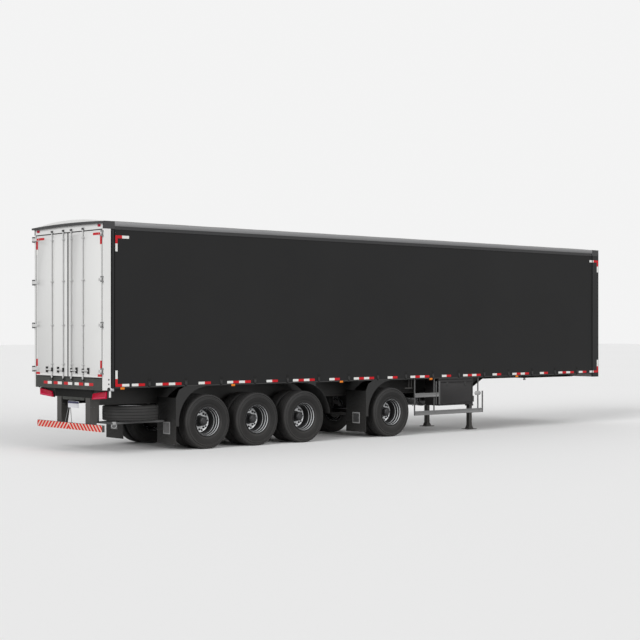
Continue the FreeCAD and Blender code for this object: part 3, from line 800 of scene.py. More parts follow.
# Wheels: pressed steel barrel and disc with hand holes, ten nuts, a hub with its cap. Outlines are (distance
# along the axle, radius); the lower barrel and the disc start at the mounting face
wheel = {
    "steps": 72, "offset": 0.172, "spareOffset": 0.160, "pairMiddle": 0.960,
    "holes": 10, "holeRing": 0.1970, "holeRadius": 0.0220, "holeDepth": 0.05,
    "nuts": 10, "nutRing": 0.1675, "nutRadius": 0.018, "nutReach": 0.026, "nutFace": 0.012, "washer": 0.004,
    "studRadius": 0.009, "studReach": 0.014,
    "barrel": ((0.1235, 0.3005), (0.1285, 0.2985), (0.1305, 0.2940), (0.1295, 0.2870), (0.1250, 0.2840),
               (0.0720, 0.2830), (0.0700, 0.2710), (0.0020, 0.2700), (0.0000, 0.2585), (-0.0600, 0.2575),
               (-0.0620, 0.2480), (-0.0680, 0.2460), (-0.0900, 0.2460), (-0.1000, 0.2560), (-0.1120, 0.2700),
               (-0.1260, 0.2760), (-0.1300, 0.2830), (-0.1300, 0.2960), (-0.1240, 0.3000), (-0.1180, 0.2960),
               (-0.1150, 0.2875), (-0.0900, 0.2865), (-0.0780, 0.2640), (-0.0700, 0.2620), (-0.0040, 0.2630),
               (0.0000, 0.2750), (0.0660, 0.2765), (0.0700, 0.2870), (0.1150, 0.2885), (0.1180, 0.2980)),
    "lower": ((0.008, 0.2245), (0.020, 0.2245), (0.046, 0.2360), (0.095, 0.2455), (0.095, 0.2490),
              (0.044, 0.2400), (0.030, 0.2330)),
    "disc": ((0, 0.112), (0, 0.200), (0.008, 0.224), (0.020, 0.224), (0.014, 0.206), (0.012, 0.198),
             (0.012, 0.118), (0.006, 0.112)),
    # painted highlights on the barrel steps, as (start, end, radius)
    "glintRings": ((0.0980, 0.1240, 0.2836), (0.0420, 0.0680, 0.2708), (-0.0240, 0.0000, 0.2583)),
    "drum": ((0.645, 0.075), (0.645, 0.196), (0.652, 0.205), (0.690, 0.208), (0.694, 0.205), (0.915, 0.205),
             (0.919, 0.209), (0.936, 0.205), (0.944, 0.190), (0.946, 0.140)),
    "hub": ((0.940, 0.1115), (0.986, 0.1115), (0.992, 0.104), (1.010, 0.100), (1.070, 0.096), (1.104, 0.094),
            (1.112, 0.091), (1.114, 0.078)),
    "cap": ((1.112, 0.079), (1.122, 0.076), (1.130, 0.073), (1.1340, 0.0545), (1.1375, 0.050),
            (1.1420, 0.046), (1.1440, 0.020), (1.1440, 0.0)),
    "capBolts": 10, "capBolt": ((0, 1.112, 0.0855), (0, 1.122, 0.0855)), "capBoltRadius": 0.006,
    "valve": ((0.03, 0.02, 0.236), (0.034, 0.075, 0.232)), "valveRadius": 0.004}


def ringOf(name, model, count, first=0.0):
    # Copies of a model turned about the Y axis
    copies = [copyPiece(model, name, turn=(0, first + 2 * pi * number / count, 0)) for number in range(count)]
    discard(model)
    return joined(name, copies)


def makeRim(offset):
    # Outer face towards +Y, the tyre's middle plane at zero, the mounting face at -offset
    def ring(name, outline):
        return spun(name, outline, steps=wheel["steps"], closed=True)

    face = -offset
    barrel = ring("barrelModel", wheel["barrel"])
    lowerBarrel = ring("lower", [(face + along, radius) for along, radius in wheel["lower"]])
    valve = startRod("valve", *wheel["valve"], wheel["valveRadius"], 8)
    disc = ring("discModel", [(face + along, radius) for along, radius in wheel["disc"]])
    far, depth = wheel["holeRing"], wheel["holeDepth"]
    hole = startRod("hole", (0, face - depth, far), (0, face + depth, far), wheel["holeRadius"], 20)
    cutWith(disc, ringOf("holes", hole, wheel["holes"], pi / 10))
    # Painted highlights: bright silver rings on the three steps of the barrel, where light would glint
    glintRings = [ring("glintRing", [(start, radius - 0.0010), (end, radius - 0.0010), (end, radius + 0.0006),
                           (start, radius + 0.0006)]) for start, end, radius in wheel["glintRings"]]
    return joined("barrelModel", [barrel, lowerBarrel, valve]), joined("discModel", [disc] + glintRings)


def makeNuts():
    far, radius = wheel["nutRing"], wheel["nutRadius"]
    face = wheel["pairMiddle"] + wheel["nutFace"]
    seat, top = face + wheel["washer"], face + wheel["nutReach"]
    washer = startRod("washer", (0, face, far), (0, seat, far), radius * 1.25, 16)
    nut = soften(startRod("nut", (0, seat, far), (0, top, far), radius, 6), 0.002, 1)
    stud = startRod("stud", (0, top, far), (0, top + wheel["studReach"], far), wheel["studRadius"], 8)
    return ringOf("nuts", joined("nut", [washer, nut, stud]), wheel["nuts"])


def makeHub():
    # Drum and hub barrel, then the cap with its bolts
    drum, hub, cap = [spun(key + "Model", wheel[key]) for key in ("drum", "hub", "cap")]
    bolt = startRod("capBolt", *wheel["capBolt"], wheel["capBoltRadius"], 6)
    bolts = ringOf("capBolts", bolt, wheel["capBolts"], pi / 10)
    return joined("hubModel", [drum, hub]), joined("capModel", [cap, bolts])


def makeWheels():
    master = makeTyre()
    # The smoother, darker band between the bead and the shoulder, with two moulded lines
    sidewall = spun("sidewallMaster", tyre["band"], steps=tyre["steps"], closed=True)
    outer, inner = wheel["pairMiddle"] + wheel["offset"], wheel["pairMiddle"] - wheel["offset"]

    def pair(name, model, innerFlip):
        return joined(name, [copyPiece(model, "outer", (0, outer, 0)),
                             copyPiece(model, "inner", (0, inner, 0), flip=(1, innerFlip, 1))])

    rim = makeRim(wheel["offset"])
    twin = pair("twinTyres", master, 1)
    band = copyPiece(sidewall, "outerBand", (0, outer, 0))
    barrels, discs = [pair("twinRims", model, -1) for model in rim]
    nuts = makeNuts()
    hub, cap = makeHub()
    for number, x in enumerate(axleX, 1):
        for sideName, side in sides:
            lower = "%d_%s" % (number, sideName.lower())
            for model, name, finishName, slot, stands in (
                    (twin, "treadedTyres", "rubber", "tyre_rubber", ["tyres_" + lower]),
                    (band, "tyreSidewalls", "sidewallRubber", "tyre_rubber", ()),
                    (barrels, "rimBarrels", "rimBarrelShade", "wheel_paint", ["rims_" + lower]),
                    (discs, "rimDiscs", "rimSilverAndGlints", "wheel_paint", ["rims_" + lower]),
                    (hub, "hubAndDrum", "hubBlack", "underframe_paint", ()),
                    (cap, "hubCap", "hubCap", "underframe_paint", ()),
                    (nuts, "wheelNuts", "nutSteel", "bare_steel", ())):
                made = copyPiece(model, "%s%d%s" % (name, number, sideName), (x, 0, wheelZ), flip=(1, side, 1))
                finish(made, finishName, "wheel_" + lower, stands)
    # The spare lies on its carrier with its outer face up
    low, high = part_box("spare_tyre")
    spareRim = makeRim(wheel["spareOffset"])
    for model, name, finishName, slot, stands in (
            (master, "spareTreadedTyre", "rubber", "tyre_rubber", "spare_tyre"),
            (sidewall, "spareSidewall", "sidewallRubber", "tyre_rubber", "spare_tyre"),
            (spareRim[0], "spareRimBarrel", "rimBarrelShade", "wheel_paint", "spare_rim"),
            (spareRim[1], "spareRimDisc", "rimSilverAndGlints", "wheel_paint", "spare_rim")):
        finish(copyPiece(model, name, (low + high) / 2, (pi / 2, 0, 0)), finishName, "root", [stands])
    discard(master, sidewall, twin, band, barrels, discs, nuts, hub, cap, *rim, *spareRim)


makeWheels()
print("wheels done")

# Doors: framed leaves, each with rubber all round that stands a little proud of it; its dark band is partly
# painted shade for the gap round the door
door = {"frame": 0.038, "groove": 0.005, "grooveSlope": 0.003, "grooveFloor": 0.006, "gap": 0.004,
        "back": 0.0015, "edge": 0.0015, "seal": 0.015, "sealProud": 0.0005, "sealFront": 0.012,
        "sealSlope": 0.0005, "sealDepth": 0.006}


def makeDoor(sideName, node):
    low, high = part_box(node)
    gap, half = door["gap"], door["groove"] / 2
    leaf = framedBox("doorLeaf" + sideName, low + Vector((door["back"], gap, gap)),
                     high - Vector((0, gap, gap)), ("X", 0),
                     [(door["frame"], 0), (door["grooveSlope"], -half), (door["grooveFloor"], 0),
                      (door["grooveSlope"], half)], door["edge"], 1)
    rubber = framedBox("doorSeal" + sideName, low - Vector((door["sealProud"], 0, 0)),
                       high - Vector((door["sealFront"], 0, 0)), ("X", -1),
                       [(door["seal"], 0), (door["sealSlope"], -door["sealDepth"])], door["edge"], 1)
    finish(leaf, "doorWhite", node, [node])
    finish(rubber, "sealRubberAndGapShade", node)


for sideName, side in sides:
    makeDoor(sideName, "door_" + sideName.lower())

# Lock gear of one door: bars, cams, guides, handles. Places are distances from the centre; a base or a
# saddle is (proud of the door, half width, half height, edge, segments)
lock = {"places": (0.150, 0.580), "barX": -0.020, "barRadius": 0.0135, "low": 1.386, "high": 4.326,
        "cams": ((1.409, -1), (4.304, 1)), "camHalf": 0.014, "collar": (0.052, 0.026, 0.0195),
        "guides": (1.70, 2.46, 3.32, 4.13), "base": (0.005, 0.046, 0.021, 0.004, 2),
        "saddle": (0.040, 0.021, 0.017, 0.008, 3), "screws": (-0.034, 0.034), "handleZ": 1.588,
        "handleReach": 0.215, "arm": (-0.0405, 0.0085)}


def makeLockBars():
    bars, fittings, darks = [], [], []
    x = doorFace + lock["barX"]

    def boss(key, y, z):
        proud, halfY, halfZ, edge, segments = lock[key]
        return softBox(key, (doorFace - proud, y - halfY, z - halfZ), (doorFace, y + halfY, z + halfZ), edge,
                       segments)

    for y in lock["places"]:
        bar = startRod("bar", (x, y, lock["low"]), (x, y, lock["high"]), lock["barRadius"], 20)
        bars.append(soften(bar, 0.002, 1))
        far, near, radius = lock["collar"]
        for z, way in lock["cams"]:
            cam = startSlab("cam", "X", x - lock["camHalf"], moved(
                [(-0.028, -0.020), (0.010, -0.020), (0.030, -0.006 * way), (0.026, 0.018), (0.002, 0.008),
                 (-0.028, 0.020)], y, z), 2 * lock["camHalf"])
            darks.append(soften(cam, 0.003))
            collar = startRod("collar", (x, y, z - way * far), (x, y, z - way * near), radius, 16)
            fittings.append(soften(collar, 0.002, 1))
        for z in lock["guides"]:
            fittings += [boss("base", y, z), boss("saddle", y, z)]
            fittings += [startRod("head", (doorFace - 0.010, y + away, z), (doorFace - 0.005, y + away, z),
                                  0.006, 6) for away in lock["screws"]]
        # A flat lever from its hub on the bar to an upright holder on the door
        z, end = lock["handleZ"], y + lock["handleReach"]
        place, thick = lock["arm"]
        arm = startSlab("arm", "X", doorFace + place, [
            (y + 0.004, z - 0.016), (end - 0.030, z - 0.013), (end, z - 0.010), (end, z + 0.010),
            (end - 0.030, z + 0.013), (y + 0.004, z + 0.016)], thick)
        fittings.append(soften(arm, 0.0025))
        darks.append(softBox("hub", (doorFace - 0.036, y - 0.017, z - 0.040),
                             (doorFace - 0.003, y + 0.017, z + 0.040), 0.005))
        darks.append(framedBox("holder", (doorFace - 0.038, end - 0.033, z - 0.058),
                               (doorFace, end - 0.003, z + 0.057), ("X", -1),
                               [(0.006, 0), (0.003, -0.005)], 0.006, 3))
    return joined("bars", bars), joined("fittings", fittings), joined("darks", darks)


# Hinge straps with their eyes and bolts: the leaf end is placed from the door's face, the eye from the pin
strap = {"places": (1.59, 2.46, 3.32, 4.18), "half": 0.027, "eye": 0.0075, "edge": 0.0018,
         "leaf": ((-0.007, 1.122), (0, 1.122), (0, 1.243), (-0.012, 1.250)),
         "pin": ((0.012, 0.008), (0, 0.0135), (-0.011, 0.006), (-0.008, -0.010)),
         "rear": ((-0.018, 1.225), (-0.007, 1.205)), "bolts": (1.142, 1.184), "boltsBelow": 4}


def makeStraps():
    centre = pin["door_left_swing"]
    outline = [*moved(strap["leaf"], doorFace, 0), *moved(strap["pin"], centre.x, centre.y),
               *moved(strap["rear"], doorFace, 0)]
    straps = []
    for z in strap["places"]:
        piece = startSlab("strap", "Z", z - strap["half"], outline, 2 * strap["half"])
        cutWith(piece, startRod("eye", (centre.x, centre.y, z - 0.04), (centre.x, centre.y, z + 0.04),
                                strap["eye"], 20))
        straps.append(soften(piece, strap["edge"], 1))
        for y in strap["bolts"] if z < strap["boltsBelow"] else ():
            straps.append(startRod("head", (doorFace - 0.013, y, z), (doorFace - 0.007, y, z), 0.009, 6))
    return joined("straps", straps)


def dressDoors():
    bars, fittings, darks = makeLockBars()
    straps = makeStraps()
    for sideName, side in sides:
        lower = sideName.lower()
        # bars, fittings and straps take the doors' white darkened as painted shade
        for model, name, finishName in (
                (bars, "lockBars", "barShadedWhite"), (fittings, "lockFittings", "barShadedWhite"),
                (darks, "lockHandles", "darkPlastic"), (straps, "hingeStraps", "barShadedWhite")):
            piece = copyPiece(model, name + sideName, flip=(1, side, 1))
            finish(piece, finishName, "door_" + lower, ["lock_gear_" + lower])
    discard(bars, fittings, darks, straps)


dressDoors()
print("doors done")

# Reflectors on the left door, its top strap and the sill, as rows of (colour, y from, y to, z from, z to).
# A pair on the sill starts at a distance from the centre, and its colours follow
reflector = {"doorX": 0.0012, "strapX": -0.0068, "sill": (1.302, 1.357), "length": 0.155,
             "door": (("Red", 0.915, 1.120, 4.160, 4.207), ("Red", 1.164, 1.241, 3.98, 4.145),
                      ("White", 1.164, 1.241, 3.87, 3.98), ("Red", 1.170, 1.241, 1.645, 1.79),
                      ("Red", 1.085, 1.238, 1.483, 1.530)),
             "strap": (("Red", 1.128, 1.205, 4.160, 4.203),),
             "pairs": ((0.93, "Red", "White"), (0.54, "Red", "White"), (0.15, "Red", "White"),
                       (-0.25, "White", "Red"), (-0.62, "White", "Red"))}


def rearTape(name, rows, x, body):
    made = {}
    for colour, y0, y1, z0, z1 in rows:
        made.setdefault(colour, []).append(startBox("tape", (x - tape["gauge"], y0, z0), (x, y1, z1)))
    for colour, pieces in made.items():
        finish(soften(joined(name + colour, pieces), tape["edge"], 1), "tape" + colour, body)


def makeReflectors():
    for sideName, side in sides:
        for key in ("door", "strap"):
            rows = [(colour, min(side * y0, side * y1), max(side * y0, side * y1), z0, z1)
                    for colour, y0, y1, z0, z1 in reflector[key]]
            rearTape(key + "Tape" + sideName, rows, doorFace + reflector[key + "X"],
                     "door_" + sideName.lower())
    length = reflector["length"]
    strips = []
    for start, first, second in reflector["pairs"]:
        strips += [(first, start - length, start, *reflector["sill"]),
                   (second, start - 2 * length, start - length, *reflector["sill"])]
    rearTape("sillTape", strips, doorFace, "root")


makeReflectors()

# Rear lamps: one tilted lens in a housing, with a painted highlight strip round its lower corner, and markers
# on the header. The lens and the highlight strip are given as shares of the way out and up between the corners
lamp = {"corners": ((0.720, 1.033), (0.765, 1.152), (1.245, 1.212), (1.235, 1.066)), "rear": 0.085,
        "front": 0.142, "depth": 0.034, "lap": 0.006,
        "lens": ((0.01, 0.02), (0.01, 0.98), (0.99, 0.98), (0.99, 0.02)),
        "glintStrip": ((0.10, 0.10), (0.97, 0.10), (0.97, 0.88), (0.925, 0.88), (0.925, 0.27), (0.10, 0.27)),
        "glintStripIn": 0.0012, "glintStripDepth": 0.004, "marker": ((-0.010, 1.092, 4.314), (0, 1.192, 4.360))}


def between(first, second, share):
    return first[0] + (second[0] - first[0]) * share, first[1] + (second[1] - first[1]) * share


def makeLamps():
    lowIn, highIn, highOut, lowOut = lamp["corners"]
    x = doorFace + lamp["rear"]
    depth = lamp["depth"]

    def across(key):
        return [between(between(lowIn, lowOut, share), between(highIn, highOut, share), up)
                for share, up in lamp[key]]

    housing = startSlab("housing", "X", x + depth - lamp["lap"], lamp["corners"],
                        lamp["front"] - lamp["rear"] - depth + lamp["lap"])
    lens = startSlab("lens", "X", x, across("lens"), depth)
    insetAndPush(lens, ("X", -1), [(0.012, 0), (0.003, -0.002)])
    # painted highlight: a thin pale pink strip in front of the lens
    glintStrip = startSlab("glintStrip", "X", x + lamp["glintStripIn"], across("glintStrip"), lamp["glintStripDepth"])
    markerBox = softBox("markerModel", *fromX(doorFace, lamp["marker"]), 0.008, 3)
    for model, name, finishName in ((soften(housing, 0.004), "lampHousing", "darkPlastic"),
                                    (soften(lens, 0.006, 3), "lampLens", "lensRed"),
                                    (soften(glintStrip, 0.001, 1), "lampGlint", "lensGlintPink"),
                                    (markerBox, "headerLamp", "lensRed")):
        bothSides(model, name, finishName, ["rear_lamps"])


makeLamps()

# Dark cover on the beam between the lamps
cover = {"half": 0.688, "low": 1.062, "high": 1.220, "place": 0.120, "proud": 0.003, "sunk": 0.0005}


def makeBeamCover():
    x = doorFace + cover["place"]
    sheet = framedBox("beamCover", (x - cover["proud"], -cover["half"], cover["low"]),
                      (x + cover["sunk"], cover["half"], cover["high"]), ("X", -1),
                      [(0.010, 0), (0.003, -0.001)], 0.0008)
    finish(sheet, "coverBlack", "root")


makeBeamCover()

# Number plate on its bracket, with two stays down to the bumper. Corners are given from the plate's face;
# a stay is (y at the plate, y at the bumper)
plate = {"place": 0.120, "half": 0.200, "low": 0.850, "high": 0.980, "gauge": 0.004, "band": 0.045,
         "rim": 0.004, "bandProud": 0.0006, "bracket": ((0.004, -0.090, 0.900), (0.012, 0.090, 1.005)),
         "hood": ((-0.030, -0.100, 0.992), (0.006, 0.100, 1.012)),
         "post": ((0.004, -0.020, 0.985), (0.010, 0.020, 1.008)),
         "stays": ((0.190, 0.205), (0.125, -0.040)), "stayRadius": 0.006, "stayFoot": 0.566}


def makePlate():
    x = doorFace + plate["place"]
    half, low, high, rim = plate["half"], plate["low"], plate["high"], plate["rim"]
    body = framedBox("numberPlate", (x, -half, low), (x + plate["gauge"], half, high), ("X", -1),
                     [(0.004, 0), (0.0015, -0.0012)], 0.001)
    band = softBox("plateBand", (x - plate["bandProud"], -half + rim, high - plate["band"]),
                   (x + 0.002, half - rim, high - rim), 0.0004, 1)
    bracket = framedBox("plateBracket", *fromX(x, plate["bracket"]), ("X", 0), [(0.016, -0.002)], 0.002)
    hood = softBox("plateLamp", *fromX(x, plate["hood"]), 0.006)
    post = startBox("hoodPost", *fromX(x, plate["post"]))
    stays = []
    z = plate["stayFoot"]
    for y0, y1 in plate["stays"]:
        stays.append(startRod("stay", (x + 0.010, y0, low + 0.02), (doorFace + 0.060, y1, z),
                              plate["stayRadius"], 10))
        stays.append(softBox("foot", (doorFace + 0.045, y1 - 0.02, z),
                             (doorFace + 0.070, y1 + 0.02, z + 0.006), 0.002, 1))
    finish(body, "plateWhite", "root", ["number_plate"])
    finish(band, "plateBlue", "root", ["number_plate"])
    finish(joined("plateBracket", [bracket, hood, post]), "darkPlastic", "root",
           ["number_plate"])
    finish(joined("plateStays", stays), "zincDull", "root")


makePlate()

# Bumper: a rolled box with striped sheet on its face, moulded ends, and bolts on the outer faces of its
# supports, as (distance from the door, height)
bumper = {"face": 0.0012, "cap": 0.006, "sheetEnd": 0.008, "endDepth": 0.009, "rim": 0.001,
          "boltRadius": 0.012, "boltReach": 0.010,
          "bolts": ((0.105, 0.480), (0.195, 0.480), (0.105, 0.530), (0.210, 0.530), (0.140, 0.880),
                    (0.210, 0.880)),
          "stripes": {"pitch": 0.12, "share": 0.6, "rough": 0.45}, "stripeStart": 0.031}


def makeBumper():
    low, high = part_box("bumper")
    stripeFinish("bumperStripes", (0.58, 0.020, 0.012), (0.70, 0.54, 0.47),
                 dict(bumper["stripes"], start=low.z + bumper["stripeStart"]))
    cap = Vector((0, bumper["cap"], 0))
    bar = softBox("bumperBar", low + cap, high - cap, 0.006, 3)
    inset, rim = bumper["sheetEnd"], bumper["rim"]
    sheet = softBox("bumperSheet", (low.x - bumper["face"], low.y + inset, low.z + rim),
                    (low.x + rim, high.y - inset, high.z - rim), 0.0006, 1)
    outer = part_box("bumper_supports")[1].y
    ends, bolts = [], []
    for side in (-1, 1):
        y0, y1 = sorted((side * high.y, side * high.y - side * bumper["endDepth"]))
        ends.append(softBox("end", (low.x - rim, y0, low.z - rim), (high.x + 0.002, y1, high.z + rim), 0.003))
        y0, y1 = side * outer, side * (outer + bumper["boltReach"])
        bolts += [startRod("bolt", (doorFace + place, y0, z), (doorFace + place, y1, z),
                           bumper["boltRadius"], 6) for place, z in bumper["bolts"]]
    finish(bar, "stayGrey", "root", ["bumper"])
    finish(sheet, "bumperStripes", "root", ["bumper"])
    finish(joined("bumperEnds", ends), "stayGrey", "root")
    finish(joined("bumperBolts", bolts), "guardIron", "root")


makeBumper()
print("rear done")

# Flaps behind the wheels: slanted ribs and a blank pale square, with a recess inside its frame
flap = {"back": 0.775, "ribs": 9, "ribPitch": 0.085, "ribLow": 0.160, "slant": 0.10, "ribHeight": 0.020,
        "ribProud": 0.004, "ribDepth": 0.005, "inner": (0.650, 0.940), "outer": (0.950, 1.240),
        "markY": 0.955, "markHalf": 0.118, "markLow": 0.318, "markHigh": 0.558, "rim": 0.022, "edge": 0.0015}


def makeFlaps():
    height, y, half, rim = flap["ribHeight"], flap["markY"], flap["markHalf"], flap["rim"]
    for number, axle in ((1, axleX[0]), (4, axleX[3])):
        back = axle - flap["back"]
        ribs = []
        for count in range(flap["ribs"]):
            z = flap["ribLow"] + count * flap["ribPitch"]
            top = z + flap["slant"]
            for (y0, y1), z0, z1 in ((flap["inner"], z, top), (flap["outer"], top, z)):
                outline = [(y0, z0), (y1, z1), (y1, z1 + height), (y0, z0 + height)]
                ribs.append(startSlab("rib", "X", back - flap["ribProud"], outline, flap["ribDepth"]))
        ribbing = soften(joined("ribs", ribs), flap["edge"], 1)
        mark = softBox("mark", (back - 0.0065, y - half, flap["markLow"]),
                       (back - 0.001, y + half, flap["markHigh"]), flap["edge"], 1)
        field = softBox("field", (back - 0.0072, y - half + rim, flap["markLow"] + rim),
                        (back - 0.006, y + half - rim, flap["markHigh"] - rim), 0.0004, 1)
        for model, name, finishName in ((ribbing, "flapRibs", "guardPlastic"), (mark, "flapMark", "flapMark"),
                                        (field, "flapField", "zincDull")):
            bothSides(model, "%s%d" % (name, number), finishName)


makeFlaps()

# Tool box: framed body with a recessed lid, a raised lip over it, latches and hinges. Latches and hinges stand
# at shares of the length. The lid is (in from the ends, depth from and to, up from the bottom, down from the
# top), and so are the others, but their heights are both taken from the top
box = {"rim": 0.028, "recess": 0.008, "face": 0.008, "latches": (0.24, 0.76), "hinges": (0.15, 0.5, 0.85),
       "lid": (0.045, 0.004, 0.022, 0.040, 0.105), "lip": (0.030, 0, 0.030, 0.098, 0.040),
       "base": (0.035, 0, 0.012, 0.190, 0.085), "tongue": (0.020, -0.006, 0.004, 0.175, 0.095),
       "hinge": (0.05, 0.006, 0.036, 0.008)}


def makeToolBox():
    low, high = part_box("tool_box")
    body = framedBox("toolBoxBody", low + Vector((0, box["face"], 0)), high, ("Y", -1),
                     [(box["rim"], 0), (0.004, -box["recess"])], 0.012, 3)
    end, y0, y1, bottom, top = box["lid"]
    lid = framedBox("toolBoxLid", (low.x + end, low.y + y0, low.z + bottom),
                    (high.x - end, low.y + y1, high.z - top), ("Y", -1), [(0.030, 0), (0.004, 0.003)], 0.006, 3)
    end, y0, y1, bottom, top = box["lip"]
    lip = softBox("toolBoxLip", (low.x + end, low.y + y0, high.z - bottom),
                  (high.x - end, low.y + y1, high.z - top), 0.008, 3)
    fittings = []
    for share in box["latches"]:
        x = low.x + (high.x - low.x) * share
        for key in ("base", "tongue"):
            half, y0, y1, z0, z1 = box[key]
            fittings.append(softBox(key, (x - half, low.y + y0, high.z - z0),
                                    (x + half, low.y + y1, high.z - z1), 0.004))
    half, away, up, radius = box["hinge"]
    for share in box["hinges"]:
        x, y, z = low.x + (high.x - low.x) * share, low.y + away, low.z + up
        fittings.append(startRod("hinge", (x - half, y, z), (x + half, y, z), radius, 12))
    finish(body, "boxPlastic", "root", ["tool_box"])
    finish(joined("toolBoxDoor", [lid, lip]), "boxPlastic", "root", ["tool_box"])
    finish(joined("toolBoxLatches", fittings), "darkPlastic", "root", ["tool_box"])


makeToolBox()

# Side guards: hollow rails with rounded edges on posts, with end plugs. On the right the upper rail stops
# short of the tool box, a stub goes on in front of it, and two irons hold the box
guard = {"outer": 1.287, "inner": 1.262, "postInner": 1.237, "low": (0.437, 0.537), "high": (0.845, 0.940),
         "posts": (8.200, 8.822, 10.290), "post": (0.004, 0.028), "bolt": (0.016, 0.003, 0.009),
         "plug": 0.030, "boxGap": 0.002, "stub": (10.171, 10.378), "stubCorner": 0.034,
         "irons": ((8.872, 8.890), (8.962, 9.006)), "ironHeights": (0.665, 1.200),
         "ironDepths": (-1.2895, -1.255)}


def makeGuards():
    low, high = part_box("side_guards")
    inner, outer = guard["inner"], guard["outer"]
    place, reach, radius = guard["bolt"]
    for sideName, side in sides:
        upperEnd = high.x if side > 0 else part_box("tool_box")[0].x - guard["boxGap"]
        rails = [framedBox("rail", (low.x, inner, z0), (x1, outer, z1), ("Y", 1),
                           [(0.012, 0), (0.004, -0.002)], 0.006, 3)
                 for x1, (z0, z1) in ((high.x, guard["low"]), (upperEnd, guard["high"]))]
        posts = []
        for x in [doorFace + distance for distance in guard["posts"]]:
            x0, x1 = [x + along for along in guard["post"]]
            posts.append(softBox("post", (x0, guard["postInner"], low.z), (x1, inner, high.z), 0.004))
            for z in (sum(guard["low"]) / 2, sum(guard["high"]) / 2):
                posts.append(startRod("bolt", (x + place, inner, z), (x + place, outer + reach, z), radius, 6))
        posts.append(softBox("plug", (high.x - guard["plug"], inner, guard["low"][0]),
                             (high.x, outer, guard["high"][1]), 0.006, 3))
        for pieces, name, finishName in ((rails, "guardRails", "guardRail"),
                                         (posts, "guardPosts", "guardIron")):
            model = joined("model", pieces)
            finish(copyPiece(model, name + sideName, flip=(1, side, 1)), finishName, "root",
                   ["side_guards"])
            discard(model)


def makeStub():
    cut = guard["stubCorner"]
    z0, z1 = guard["high"]
    x0, x1 = [doorFace + distance for distance in guard["stub"]]
    stub = startSlab("guardStub", "Y", -guard["outer"], [
        (x0, z0 + cut), (x0 + cut, z0), (x1 - cut, z0), (x1, z0 + cut), (x1, z1 - cut), (x1 - cut, z1),
        (x0 + cut, z1), (x0, z1 - cut)], guard["outer"] - guard["inner"])
    finish(soften(stub, 0.010, 3), "guardEnd", "root", ["side_guards"])
    (z0, z1), (y0, y1) = guard["ironHeights"], guard["ironDepths"]
    irons = [softBox("iron", (doorFace + x0, y0, z0), (doorFace + x1, y1, z1), 0.003)
             for x0, x1 in guard["irons"]]
    finish(joined("boxIrons", irons), "guardIron", "root")


makeGuards()
makeStub()

# Air tanks: rolled shells with dished ends, straps, drain valves. The end is (distance from it, radius)
tank = {"radius": 0.150, "z": 0.735, "half": 0.400, "places": (9.390, 9.800),
        "end": ((0, 0), (0.002, 0.045), (0.012, 0.090), (0.030, 0.125), (0.052, 0.144), (0.075, 0.150),
                (0.078, 0.152), (0.084, 0.152), (0.087, 0.150)),
        "straps": (-0.26, 0.26), "strapHalf": 0.020, "strapGauge": 0.004, "earTop": 0.872,
        "beams": ((-0.455, -0.235), (0.235, 0.455)), "beamHalf": 0.022, "beamHeights": (0.868, 0.910),
        "portUp": 0.05, "portReach": 0.018}


def makeTanks():
    half, radius, z = tank["half"], tank["radius"], tank["z"]
    wide, gauge = tank["strapHalf"], tank["strapGauge"]
    shells, irons = [], []
    for x in [doorFace + distance for distance in tank["places"]]:
        outline = mirrored([(-half + along, away) for along, away in tank["end"]])
        shells.append(spun("shell", outline, (x, 0, z)))
        for y in tank["straps"]:
            band = [(y - wide, radius), (y - wide, radius + gauge), (y + wide, radius + gauge),
                    (y + wide, radius)]
            irons.append(spun("band", band, (x, 0, z), steps=40, closed=True))
            irons.append(softBox("ear", (x - wide, y - wide, z + radius),
                                 (x + wide, y + wide, tank["earTop"]), 0.003, 1))
        x0, x1 = x - tank["beamHalf"], x + tank["beamHalf"]
        z0, z1 = tank["beamHeights"]
        irons += [softBox("beam", (x0, y0, z0), (x1, y1, z1), 0.004, 1) for y0, y1 in tank["beams"]]
        irons.append(startRod("drain", (x, 0, z - radius - 0.022), (x, 0, z - radius + 0.004), 0.010, 8))
        portZ = z + tank["portUp"]
        irons += [startRod("port", (x, y, portZ), (x, y + tank["portReach"], portZ), 0.014, 6)
                  for y in (-half - 0.014, half - 0.004)]
    finish(joined("airTankShells", shells), "tankBlack", "root", ["air_tanks"])
    finish(joined("airTankStraps", irons), "steel", "root", ["air_tanks"])


makeTanks()

# Air bags: a rolling sleeve on its piston, under a top plate, as (height, radius). The front ones are smaller
bag = {"y": 0.455, "frontY": 0.400, "frontScale": 0.70, "behind": 0.380, "z": 0.490,
       "sleeve": ((0.110, 0.100), (0.118, 0.122), (0.132, 0.135), (0.152, 0.1395), (0.188, 0.1400),
                  (0.200, 0.1385), (0.208, 0.1315), (0.215, 0.1290), (0.222, 0.1315), (0.230, 0.1385),
                  (0.245, 0.1400), (0.318, 0.1400), (0.336, 0.1370), (0.350, 0.1280), (0.364, 0.1130),
                  (0.372, 0.1080)),
       "piston": ((0.0, 0.0), (0.0, 0.088), (0.010, 0.092), (0.030, 0.080), (0.080, 0.076), (0.112, 0.086),
                  (0.126, 0.088)),
       "top": ((0.366, 0.090), (0.368, 0.112), (0.376, 0.114), (0.392, 0.112), (0.396, 0.060), (0.420, 0.058),
               (0.420, 0.0))}


def makeBags():
    sleeves, metals = [], []
    for number, x in enumerate(axleX, 1):
        y, scale = (bag["frontY"], bag["frontScale"]) if number == 4 else (bag["y"], 1.0)
        for key, steps, models in (("sleeve", 44, sleeves), ("piston", 36, metals), ("top", 36, metals)):
            models.append(spun(key, [(along, away * scale) for along, away in bag[key]],
                               (x - bag["behind"], y, bag["z"]), axis="Z", steps=steps))
    bothSides(joined("model", sleeves), "airBagSleeves", "bellowRubber", ["air_bags"])
    bothSides(joined("model", metals), "airBagPistons", "chassisBlack", ["air_bags"])


makeBags()
print("running gear done")

